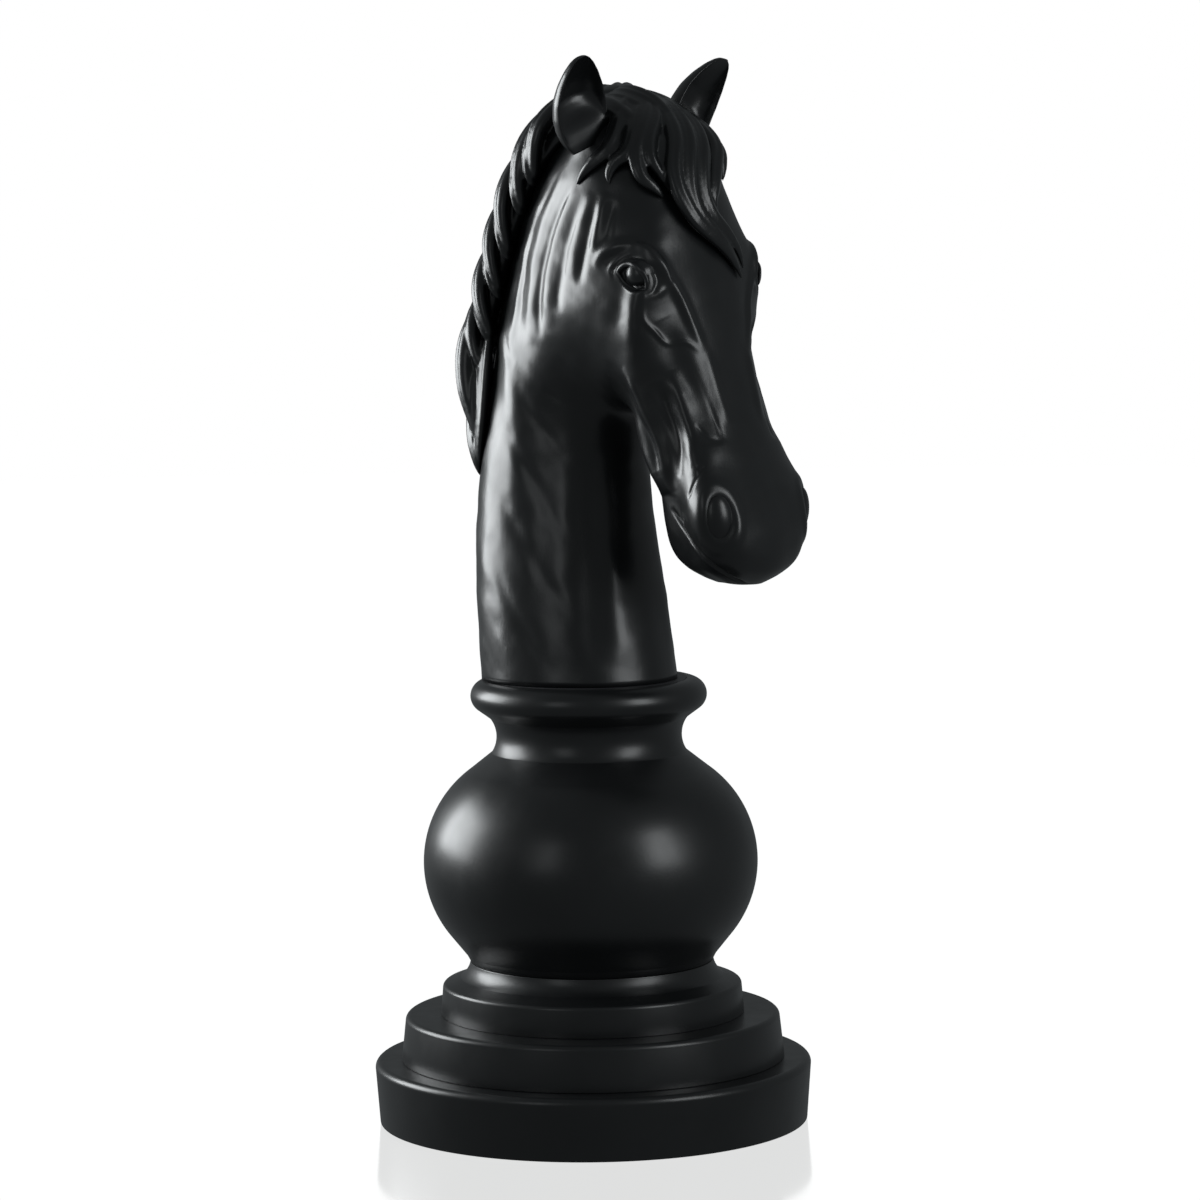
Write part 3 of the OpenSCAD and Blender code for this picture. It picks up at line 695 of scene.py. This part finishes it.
NOSTRIL = np.array((-58.0, 192.0, 531.0))
NOSTRIL_UP = np.array((-3.0, -5.0, 35.0))
NOSTRIL_ACROSS = np.array((18.0, 13.0, -7.0))
SEAT_DEPTH = 3.4      # of the seat in the skin
BEAD_SUNK = 3.6       # how far the bead's centre lies inside the skin
BEAD_HALF = (11.6, 18.4, 5.4)


def nostril_axes():
    up = unit(NOSTRIL_UP)
    return unit(NOSTRIL_ACROSS - up * (NOSTRIL_ACROSS @ up)), up


def nostril_seat(folded):
    """Shallow oval seat with a soft rim; a separate bead fills it."""
    across, up = nostril_axes()
    offset = folded - NOSTRIL
    ring = np.hypot(offset @ across / 12.0, offset @ up / 19.0)
    near_nose = np.linalg.norm(offset, axis=1) < 45
    inside = np.clip((1.16 - ring) / 0.36, 0, 1)
    seat = -SEAT_DEPTH * smoothstep(inside)
    rim = 1.1 * np.exp(-((ring - 1.42) / 0.26) ** 2)
    return np.where(near_nose, seat + rim, 0)


def folded_points(grid):
    """Points of a grid, with those of the left side mirrored to the right."""
    points = grid.reshape(-1, 3).copy()
    points[:, 0] = -np.abs(points[:, 0])
    return points


def raised(grid, amount):
    """Grid moved out along its normals by an amount for each point."""
    return grid + grid_normals(grid) * amount.reshape(grid.shape[:2] + (1,))


def sculpt(grid):
    """Presses the broad forms, then the fine ones, the eyes and the nostrils into the skin."""
    points = folded_points(grid)
    amount = sum(mound(points, *form) for form in MOUNDS)
    amount += sum(stroke(points, *form) for form in BROAD_STROKES)
    grid = raised(grid, amount)

    points = folded_points(grid)
    amount = sum(stroke(points, *form) for form in FINE_STROKES)
    amount += eye_socket(points) + nostril_seat(points)
    unfolded = grid.reshape(-1, 3)
    amount += ripples(unfolded, 46, 0.25, 5) + ripples(unfolded, 15, 0.07, 6)
    return raised(grid, amount)


def neck_foot(ring):
    """Rings that turn under the neck's edge into the pocket for the neck plate."""
    plate_low, plate_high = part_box("neck_plate")
    centre_forward = -(plate_low.y + plate_high.y) / 2 / MM
    pocket_r = (plate_high.x - plate_low.x) / 2 / MM + CHAMFER
    pocket_z = plate_high.z / MM + 0.05
    offset = ring[:, :2] - (0, centre_forward)
    direction = offset / np.linalg.norm(offset, axis=1, keepdims=True)

    def circle(radius, up):
        flat = direction * radius + (0, centre_forward)
        return np.concatenate([flat, np.full((len(ring), 1), up)], 1)

    return [circle(pocket_r + CHAMFER, FOOT_Z), circle(pocket_r, FOOT_Z + CHAMFER),
            circle(pocket_r, pocket_z), circle(NECK_MOUTH_R, pocket_z),
            circle(NECK_MOUTH_R, HOLLOW_FLOOR_Z)]


def make_horse():
    """Sculpted outer skin, the pocket under the neck and the smooth inner skin, as one closed wall.

    Rows and columns lie closer together round the eyes, the nostrils and the mouth."""
    rows = eased((0, 8.5, 10.2, 11.2, 12.6, 14.4, 17, 17.6, 19.2, 20.4, LAST_ROW),
                 (1, 1.05, 1.4, 3.2, 3.2, 1.7, 1.7, 2.8, 2.8, 2.2, 2.6), SKIN_ROWS)
    right = eased((0, 0.9, 1.7, 3.4, 4.4, THROAT), (1.2, 1.5, 1.9, 1.9, 1.1, 0.9), SKIN_COLUMNS)
    columns = np.concatenate([right, COLUMNS - right[-2:0:-1]])
    outer = sculpt(skin_at(control_net(), rows[:, None], columns[None, :]))
    outer[0, :, 2] = FOOT_Z
    inner_rows = np.linspace(0.22, LAST_ROW, INNER_ROWS)
    inner = skin_at(control_net(SKIN_INSET), inner_rows[:, None], columns[None, :])
    inner[0, :, 2] = HOLLOW_FLOOR_Z
    grid = np.concatenate([outer[::-1], np.array(neck_foot(outer[0])), inner])
    points, faces = closed_grid(grid)
    piece = add_mesh("horse_head", to_world(points), faces, MATERIALS[CARVED])
    return place(piece, "head_section", CARVED, "horse_shell")


# ---------------------------------------------------------------- hair

LOCK_TIP = 0.7        # least half size of a lock
GROOVE_DEPTH = 0.26   # of the grooves between strands, as a share of the thickness


def lock(net, route, width, thickness, ridges, steps=44, around=28):
    """One carved lock along a route of (row, column, height above the skin).

    width and thickness are half sizes. The lock swells from its root and thins to its tip, and
    ridges is the number of carved strands that show along it."""
    path = smooth_route(route, 12)
    share = np.linspace(0, 1, steps)
    path = np.stack([np.interp(share, np.linspace(0, 1, len(path)), path[:, k]) for k in range(3)], 1)
    base, normal = skin_frame(net, path[:, 0], path[:, 1])
    centre = base + normal * path[:, 2:]
    along = unit(np.gradient(centre, axis=0))
    aside = unit(np.cross(normal, along))
    lift = unit(np.cross(along, aside))
    rise = 0.5 + 0.5 * np.sin(np.minimum(share / 0.3, 1) * math.pi / 2)
    half = np.maximum(width * rise * (1 - share ** 2.6) ** 0.85, LOCK_TIP)[:, None]
    thick = np.maximum(thickness * rise * (1 - share ** 2.4) ** 0.75, LOCK_TIP)[:, None]
    angle = once_round(around)
    across = np.cos(angle)[None, :]
    groove = 1 - GROOVE_DEPTH * (1 - np.abs(np.cos(math.pi * ridges / 2 * (across + 0.12)))) ** 1.5
    height = np.sin(angle)[None, :] * np.where(np.sin(angle) > 0, groove, 0.8)
    grid = (centre[:, None] + aside[:, None] * (half * across)[..., None]
            + lift[:, None] * (thick * height)[..., None])
    return closed_grid(grid)


def joined(strands):
    """All strands as one list of points and faces."""
    points, faces, count = [], [], 0
    for strand_points, strand_faces in strands:
        points.append(strand_points)
        faces += [[index + count for index in face] for face in strand_faces]
        count += len(strand_points)
    return np.concatenate(points), faces


def lowered(route, rows, shares):
    """The route with its heights scaled by a share that changes from row to row."""
    return [(row, column, up * np.interp(row, rows, shares)) for row, column, up in route]


def near_lock(top, long, lean):
    """Route of a twisted lock that stays close to the crest on the right side."""
    route = [(top, -0.5, 5), (top - 0.16 * long, -0.1, 15), (top - 0.38 * long, 0.55 + lean, 21),
             (top - 0.60 * long, 1.05 + lean, 22), (top - 0.80 * long, 1.35 + lean, 16),
             (top - 0.93 * long, 1.5 + lean, 9), (top - long, 1.38 + lean, 3)]
    return lowered(route, (7.9, 8.6), (1, 0.4))


def far_lock(top, long, lean):
    """Route of a longer lock that falls down the left side."""
    route = [(top, 0.4, 5), (top - 0.14 * long, 0.0, 15), (top - 0.34 * long, -0.75 + lean, 21),
             (top - 0.55 * long, -1.5 + lean, 19), (top - 0.76 * long, -2.1 + lean, 13),
             (top - 0.92 * long, -2.6 + lean, 8), (top - long, -2.55 + lean, 2)]
    return lowered(route, (3.4, 4.4, 7.9, 8.6), (0.6, 1, 1, 0.4))


LONG_LOCK_STEPS = 90

# Locks at the foot of the mane, on the right: route, half width, half thickness, ridges.
TIP_LOCKS = (
    (((5.3, 0.1, 8), (4.9, 0.7, 18), (4.45, 1.1, 23), (4.0, 1.3, 19), (3.65, 1.45, 11), (3.4, 1.55, 5),
      (3.25, 1.6, 1)), 14, 12, 3),
    (((4.9, 1.2, 8), (4.3, 1.6, 7), (3.7, 1.7, 5), (3.2, 1.6, 3), (2.9, 1.5, 1)), 13, 7, 2),
    (((4.6, 0.9, 8), (4.2, 1.35, 13), (3.8, 1.55, 11), (3.45, 1.6, 7), (3.2, 1.6, 2)), 9, 8, 2),
    (((4.2, 0.4, 6), (3.75, 0.9, 10), (3.35, 1.2, 8), (3.05, 1.4, 4), (2.8, 1.5, 0)), 12, 9, 2),
)

# Locks of the forelock, from the right temple over the face to the left one, then the crown.
FORELOCK_LOCKS = (
    (((9.0, -0.1, 6), (9.15, 0.5, 10), (9.4, 1.1, 12), (9.45, 1.6, 10), (9.2, 1.95, 8), (8.95, 2.2, 6),
      (8.7, 2.45, 2)), 9, 7, 2),
    (((9.2, 0.0, 8), (9.5, 0.6, 12), (9.75, 1.1, 13), (9.85, 1.45, 11), (9.7, 1.75, 8), (9.65, 2.0, 5),
      (9.72, 2.15, 2)), 8, 7, 2),
    (((9.1, 0.1, 8), (9.4, 0.8, 12), (9.6, 1.2, 12), (9.65, 1.5, 9), (9.45, 1.75, 5)), 5, 5, 1),
    (((9.2, 0.0, 9), (9.6, 0.5, 13), (9.85, 0.95, 14), (10.05, 1.35, 12), (10.35, 1.5, 9),
      (10.75, 1.3, 6), (11.05, 1.1, 2)), 9, 7, 2),
    (((9.3, 0.0, 9), (9.8, 0.5, 13), (10.05, 0.95, 14), (10.3, 1.15, 12), (10.6, 1.1, 9),
      (10.95, 1.0, 4)), 7, 7, 2),
    (((9.2, -0.2, 9), (9.8, 0.2, 13), (10.3, 0.5, 14), (10.7, 0.8, 13), (11.1, 0.85, 12), (11.6, 0.65, 10),
      (11.95, 0.35, 8), (12.3, -0.1, 6), (12.6, -0.5, 4), (12.85, -0.85, 2)), 9, 8, 2),
    (((9.2, -0.3, 9), (9.9, 0.0, 14), (10.4, 0.25, 15), (10.8, 0.5, 15), (11.2, 0.6, 13), (11.6, 0.5, 11),
      (12.0, 0.15, 9), (12.35, -0.3, 6), (12.75, -0.85, 2)), 10, 8, 2),
    (((9.2, -0.5, 8), (10.0, -0.3, 12), (10.5, -0.05, 14), (10.9, 0.2, 14), (11.3, 0.3, 12),
      (11.7, 0.15, 10), (12.0, -0.2, 8), (12.3, -0.6, 5), (12.65, -0.9, 2)), 10, 8, 2),
    (((9.2, -0.7, 7), (9.9, -0.7, 11), (10.4, -0.6, 12), (10.8, -0.35, 11), (11.2, -0.1, 10),
      (11.5, 0.0, 8), (11.9, -0.2, 4)), 10, 8, 2),
    (((9.0, -0.5, 8), (9.6, -1.0, 11), (10.1, -1.1, 11), (10.5, -0.95, 9), (10.85, -0.9, 3)), 9, 7, 2),
    (((9.0, -0.3, 8), (9.2, -1.0, 11), (9.35, -1.6, 10), (9.2, -2.0, 7), (8.9, -2.35, 2)), 9, 7, 2),
    (((9.1, -0.3, 8), (9.5, -0.9, 12), (9.8, -1.4, 11), (9.8, -1.8, 7), (10.0, -2.0, 2)), 7, 6, 2),
    (((8.0, 0.5, 5), (8.5, 0.6, 12), (9.0, 0.8, 14), (9.5, 0.9, 13), (10.0, 0.9, 10), (10.3, 1.0, 4)),
     13, 8, 2),
    (((8.0, -0.5, 5), (8.5, -0.6, 12), (9.0, -0.8, 14), (9.5, -0.9, 12), (10.0, -0.9, 9)), 13, 8, 2),
    (((8.1, 0.1, 5), (8.6, 0.1, 14), (9.1, 0.2, 17), (9.6, 0.2, 16), (10.1, 0.3, 13), (10.6, 0.4, 8)),
     11, 8, 2),
    (((9.6, 0.4, 5), (10.2, 0.6, 8), (10.8, 0.75, 8), (11.4, 0.6, 6), (11.9, 0.2, 4), (12.3, -0.3, 2)),
     14, 6, 3),
    (((8.2, 0.3, 3), (8.8, 0.35, 8), (9.4, 0.4, 10), (10.0, 0.4, 10), (10.6, 0.3, 6)), 19, 8, 4),
    (((8.2, -0.3, 3), (8.8, -0.35, 8), (9.4, -0.4, 10), (10.0, -0.4, 10), (10.6, -0.2, 6)), 19, 8, 4),
)


def mane_locks(net):
    """A core along the crest, twisted locks on the right, its tip, and longer locks on the left."""
    rng = np.random.default_rng(11)
    strands = [lock(net, [(9.2, 0, 3), (8.4, 0, 6), (7.0, 0, 8), (5.5, 0, 8), (4.4, 0, 8), (3.6, 0.4, 2)],
                    22, 11, 5, steps=LONG_LOCK_STEPS)]
    for top, long in ((8.6, 1.3), (8.1, 1.35), (7.45, 1.45), (6.8, 1.4), (6.15, 1.4), (5.5, 1.35)):
        strands.append(lock(net, near_lock(top, long, rng.uniform(-0.05, 0.05)), rng.uniform(14, 16), 10, 3))
        curl = near_lock(top - 0.38, 0.8 * long, -0.12)
        strands.append(lock(net, [(row, column + 0.2, up * 0.9) for row, column, up in curl], 6.5, 7.5, 1))
    underlay = [(9.0, 0.9, 4), (8.0, 1.0, 5), (6.6, 0.9, 6), (5.4, 0.9, 8), (4.4, 1.0, 10), (3.7, 1.1, 6),
                (3.3, 1.1, 2)]
    strands.append(lock(net, underlay, 15, 9, 3, steps=LONG_LOCK_STEPS))
    strands += [lock(net, route, *form) for route, *form in TIP_LOCKS]
    for index in range(8):
        top = 8.9 - 0.6 * index
        long = rng.uniform(1.75, 2.0)
        lean = rng.uniform(-0.12, 0.12)
        strands.append(lock(net, far_lock(top, long, lean), rng.uniform(15, 18), rng.uniform(10, 12), 3))
        strands.append(lock(net, far_lock(top - 0.33, 0.85 * long, lean + 0.25), rng.uniform(7, 9), 8, 2))
    return strands


def forelock_locks(net):
    return [lock(net, lowered(route, (8.5, 9.5, 10.3), (0.3, 0.45, 0.9)), *form)
            for route, *form in FORELOCK_LOCKS]


def make_hair(name, node, strands):
    points, faces = joined(strands)
    piece = add_mesh(name, to_world(points), faces, MATERIALS[CARVED])
    fuse(piece)
    return place(piece, "head_section", CARVED, node)


# ---------------------------------------------------------------- ears and eyes

EAR_FOOT = np.array((62.0, 60.0, 835.0))
EAR_TIP = np.array((96.0, 80.0, 907.0))
EAR_OPENING = np.array((0.13, 0.99, -0.1))
EAR_BOW = 5.0         # how far the middle of the ear bows backward
EAR_RIM = 2.6


def ear_points(side):
    """Leaf-shaped ear: a rounded back, a rolled rim and a cup that opens forward and outward."""
    share = np.sin(np.linspace(0, 1, 90) * math.pi / 2)[:, None]
    axis = unit(EAR_TIP - EAR_FOOT)
    opening = unit(EAR_OPENING - axis * (EAR_OPENING @ axis))
    across = np.cross(axis, opening)
    places = (0, 0.08, 0.20, 0.36, 0.55, 0.72, 0.86, 0.94, 0.98, 1)
    half = np.interp(share, places, (19, 23.5, 26.5, 27.5, 26, 21.5, 15.5, 10.5, 6.5, 1.2))
    back = np.interp(share, places, (15, 18, 20, 20, 17, 13, 9, 6, 3.6, 0.8))
    cup = np.interp(share, (0, 0.10, 0.20, 0.30, 0.42, 0.62, 0.82, 0.94, 1), (0, 0, 3, 13, 20, 18, 10, 4, 0))
    kernel = np.ones(5) / 5
    half, back, cup = (np.convolve(np.pad(v[:, 0], 2, mode="edge"), kernel, "valid")[:, None]
                       for v in (half, back, cup))
    angle = once_round(72)
    wide = np.sign(np.cos(angle)) * np.abs(np.cos(angle)) ** 0.9
    behind = np.minimum(np.sin(angle), 0)
    front = np.maximum(np.sin(angle), 0)
    rolled = EAR_RIM * front ** 0.35 - cup * np.clip((front - 0.34) / 0.66, 0, 1) ** 0.55
    depth = back * behind + rolled
    centre = EAR_FOOT + (EAR_TIP - EAR_FOOT) * share - opening * EAR_BOW * np.sin(share * math.pi)
    grid = centre[:, None] + across * (half * wide)[..., None] + opening * depth[..., None]
    grid[..., 0] *= side
    return grid


def make_ear(side, name, node):
    points, faces = closed_grid(ear_points(side))
    piece = add_mesh(name, to_world(points), faces, MATERIALS[CARVED], flip=side < 0)
    return place(piece, "head_section", CARVED, node)


def lid_edge(turn):
    """Almond line of the opening, once round it, as (along, above)."""
    a = EYE_HALF * np.cos(turn)
    upper = UPPER_LID_RISE - UPPER_LID_R + np.sqrt(np.maximum(UPPER_LID_R ** 2 - a ** 2, 0))
    lower = LOWER_LID_R - LOWER_LID_DROP - np.sqrt(np.maximum(LOWER_LID_R ** 2 - a ** 2, 0))
    return a, np.where(np.sin(turn) >= 0, upper, lower)


def make_lids(side, name, node):
    """Rolled rim of both eyelids, lying on the eyeball and running out to the corners."""
    low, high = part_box(node)
    ball = (low + high) / 2 / MM
    ball = np.array((-abs(ball.x), -ball.y, ball.z))
    ball_r = (high.x - low.x) / 2 / MM
    along, above, outward = eye_axes()
    turn = once_round(LID_STEPS)
    a, b = lid_edge(turn)
    in_plane = a[:, None] * along + b[:, None] * above
    flat = EYE_MIDDLE - ball + in_plane
    behind = (ball - EYE_MIDDLE) @ outward
    reach = np.linalg.norm(flat - (flat @ outward)[:, None] * outward, axis=1)
    on_ball = behind + np.sqrt(np.maximum((ball_r + LID_ON_BALL) ** 2 - reach ** 2, 0))
    level = LID_LEVEL + np.logaddexp(0, (on_ball - LID_LEVEL) / LID_BLEND) * LID_BLEND
    centre = EYE_MIDDLE + in_plane + level[:, None] * outward
    forward = unit(np.roll(centre, -1, 0) - np.roll(centre, 1, 0))
    sideways = unit(np.cross(forward, outward))
    swell = np.where(np.sin(turn) > 0, UPPER_RIM_SWELL, LOWER_RIM_SWELL)
    thick = 1.0 + swell * np.abs(np.sin(turn)) ** 0.7
    round_rim = once_round(RIM_STEPS)
    grid = (centre[:, None] + sideways[:, None] * (thick[:, None] * 1.15 * np.cos(round_rim))[..., None]
            + outward * (thick[:, None] * 0.85 * np.sin(round_rim))[..., None])
    grid[..., 0] *= -side
    faces = grid_faces(LID_STEPS, RIM_STEPS, closed=True)
    piece = add_mesh(name, to_world(grid.reshape(-1, 3)), faces, MATERIALS[CARVED], flip=side > 0)
    return place(piece, "head_section", CARVED)


def make_nostril(side, name):
    """Smooth oval bead that leaves a thin groove round itself."""
    across, up = nostril_axes()
    outward = unit(np.cross(across, up))
    outward = outward if outward[0] < 0 else -outward
    half_across, half_up, half_deep = BEAD_HALF
    rise = np.linspace(-1, 1, 40)[1:-1, None] * math.pi / 2
    turn = once_round(64)
    a = half_across * np.cos(rise) * np.cos(turn)
    b = half_up * np.cos(rise) * np.sin(turn)
    depth = half_deep * np.sin(rise) + 0.10 * b - BEAD_SUNK
    bowed = depth - 0.010 * a ** 2 - 0.004 * b ** 2
    grid = NOSTRIL + a[..., None] * across + b[..., None] * up + bowed[..., None] * outward
    grid[..., 0] *= -side
    points, faces = closed_grid(grid)
    piece = add_mesh(name, to_world(points), faces, MATERIALS[CARVED], flip=side > 0)
    return place(piece, "head_section", CARVED)


CORNEA_FACING = (0.93, -0.34, 0.05)    # on the left eye
CORNEA_RISE = 0.00035                  # metres


def make_eye(name, node):
    """Eyeball with a slightly raised cornea."""
    low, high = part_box(node)
    centre = (low + high) / 2
    radius = (high.x - low.x) / 2
    out, ahead, up = CORNEA_FACING
    outward = Vector((math.copysign(out, centre.x), ahead, up)).normalized()
    mesh = bpy.data.meshes.new(name)
    ball = bmesh.new()
    bmesh.ops.create_uvsphere(ball, u_segments=64, v_segments=48, radius=radius)
    turn = Vector((0, 0, 1)).rotation_difference(outward).to_matrix()
    for vertex in ball.verts:
        facing = vertex.co.normalized().z
        rise = CORNEA_RISE * max(0.0, min(1.0, (facing - 0.72) / 0.12))
        vertex.co = turn @ (vertex.co * (1 + rise / radius)) + centre
    ball.to_mesh(mesh)
    ball.free()
    shade_smooth(mesh)
    mesh.materials.append(MATERIALS[CARVED])
    return place(add_object(name, mesh), "head_section", CARVED, node)


# ---------------------------------------------------------------- stage, light and camera

# Azimuths run round the object, 0 being the horse's front and -90 its right side.
CAMERA_AZIMUTH = -50
CAMERA_DISTANCE = 3.84
CAMERA_HEIGHT = 0.812
CAMERA_DOWN = 5.40
CAMERA_ASIDE = 0.16
CAMERA_ROLL = 0.72
LENS = 135.5
FLOOR_RADIUS = 8.5
FLOOR_MIRROR = 0.26
FLOOR_BLUR = 0.10
ROOM_LIGHT = 0.14
# Lamps that light the object: name, azimuth, distance, low and high edge, width, radiance.
SOFT_BOXES = (
    ("left_box", -160, 2.2, 0.38, 1.60, 1.5, 9.5),
    ("right_box", 2, 2.2, 0.45, 1.85, 0.85, 4.2),
    ("faint_box", -81, 2.6, 0.45, 1.85, 0.75, 0.9),
)
# Walls that only the floor mirrors: distance, low and high edge, width, radiance.
WALL = (9, 0, 6, 19, 1.2)


def make_floor():
    """Glossy white table: its own white, plus a faint mirror image of what stands on it."""
    material = bpy.data.materials.new("pale_floor")
    material.use_nodes = True
    nodes, links = material.node_tree.nodes, material.node_tree.links
    nodes.remove(nodes["Principled BSDF"])
    mottle = noise(nodes, links, object_place(nodes), 3.0, 3.0)
    colour = two_tone(nodes, links, mottle, (0.985, 1.0, 0.995), (1.0, 1.0, 1.0))
    white = add_node(nodes, "ShaderNodeEmission", Strength=1.0)
    links.new(colour, white.inputs["Color"])
    mirror = add_node(nodes, "ShaderNodeBsdfGlossy", Roughness=FLOOR_BLUR)
    mix = add_node(nodes, "ShaderNodeMixShader", Fac=FLOOR_MIRROR)
    links.new(white.outputs["Emission"], mix.inputs[1])
    links.new(mirror.outputs["BSDF"], mix.inputs[2])
    links.new(mix.outputs["Shader"], nodes["Material Output"].inputs["Surface"])
    bpy.ops.mesh.primitive_circle_add(vertices=96, radius=FLOOR_RADIUS, fill_type="NGON",
                                      location=(0, 0, 0))
    floor = bpy.context.object
    floor.name = "floor"
    floor.data.materials.append(material)
    floor.visible_diffuse = False
    floor.visible_glossy = False
    return floor


def make_world():
    """White to the eye, but dim as a light, so that the black stays black."""
    world = bpy.data.worlds.new("studio")
    world.use_nodes = True
    nodes, links = world.node_tree.nodes, world.node_tree.links
    seen = nodes["Background"]
    seen.inputs["Color"].default_value = (1, 1, 1, 1)
    seen.inputs["Strength"].default_value = 1.0
    dim = add_node(nodes, "ShaderNodeBackground", Color=(0.90, 0.97, 1.0, 1), Strength=ROOM_LIGHT)
    path = nodes.new("ShaderNodeLightPath")
    mix = nodes.new("ShaderNodeMixShader")
    links.new(path.outputs["Is Camera Ray"], mix.inputs["Fac"])
    links.new(dim.outputs["Background"], mix.inputs[1])
    links.new(seen.outputs["Background"], mix.inputs[2])
    links.new(mix.outputs["Shader"], nodes["World Output"].inputs["Surface"])
    bpy.context.scene.world = world
    bpy.context.scene.view_settings.view_transform = "Standard"


def soft_box(name, azimuth, distance, low, high, width, radiance):
    """Upright rectangular lamp that faces the object's axis."""
    angle = math.radians(azimuth)
    lamp = bpy.data.lights.new(name, "AREA")
    lamp.shape = "RECTANGLE"
    lamp.size = width
    lamp.size_y = high - low
    lamp.energy = radiance * width * (high - low) * math.pi
    lamp.color = (0.95, 0.985, 1.0)
    box = add_object(name, lamp)
    box.location = (math.sin(angle) * distance, -math.cos(angle) * distance, (low + high) / 2)
    box.rotation_euler = Vector((-box.location.x, -box.location.y, 0)).to_track_quat("-Z", "Y").to_euler()
    return box


def make_lights(floor):
    """Soft boxes on the object, and four walls whose light falls on the floor alone."""
    for lamp in SOFT_BOXES:
        soft_box(*lamp)
    only_floor = bpy.data.collections.new("floor_light")
    only_floor.objects.link(floor)
    for side in range(4):
        wall = soft_box(f"wall_{side}", CAMERA_AZIMUTH + 90 * side, *WALL)
        wall.data.color = (1, 1, 1)
        wall.visible_camera = False
        wall.light_linking.receiver_collection = only_floor


def make_camera():
    """Long lens, a little above the horse's eye line, on its right front side."""
    angle = math.radians(CAMERA_AZIMUTH)
    lens = bpy.data.cameras.new("camera")
    lens.sensor_width = 36
    lens.lens = LENS
    camera = add_object("camera", lens)
    turn = (Matrix.Rotation(angle - math.radians(CAMERA_ASIDE), 4, "Z")
            @ Matrix.Rotation(math.radians(90 - CAMERA_DOWN), 4, "X")
            @ Matrix.Rotation(math.radians(-CAMERA_ROLL), 4, "Z"))
    stand = Vector((math.sin(angle) * CAMERA_DISTANCE, -math.cos(angle) * CAMERA_DISTANCE, CAMERA_HEIGHT))
    camera.matrix_world = Matrix.Translation(stand) @ turn
    bpy.context.scene.camera = camera


make_camera()
make_world()
make_lights(make_floor())
dress_cad_nodes()
make_lower_tier()
make_middle_tier()
make_upper_tier()
make_bulb()
make_horse()
SKIN = control_net()
make_hair("mane_locks", "mane", mane_locks(SKIN))
make_hair("forelock_locks", "forelock", forelock_locks(SKIN))
for side, hand in ((-1, "right"), (1, "left")):
    make_ear(side, f"ear_shell_{hand}", f"ear_{hand}")
    make_eye(f"eyeball_{hand}", f"eye_{hand}")
    make_nostril(side, f"nostril_{hand}")
    make_lids(side, f"eyelids_{hand}", f"eye_{hand}")
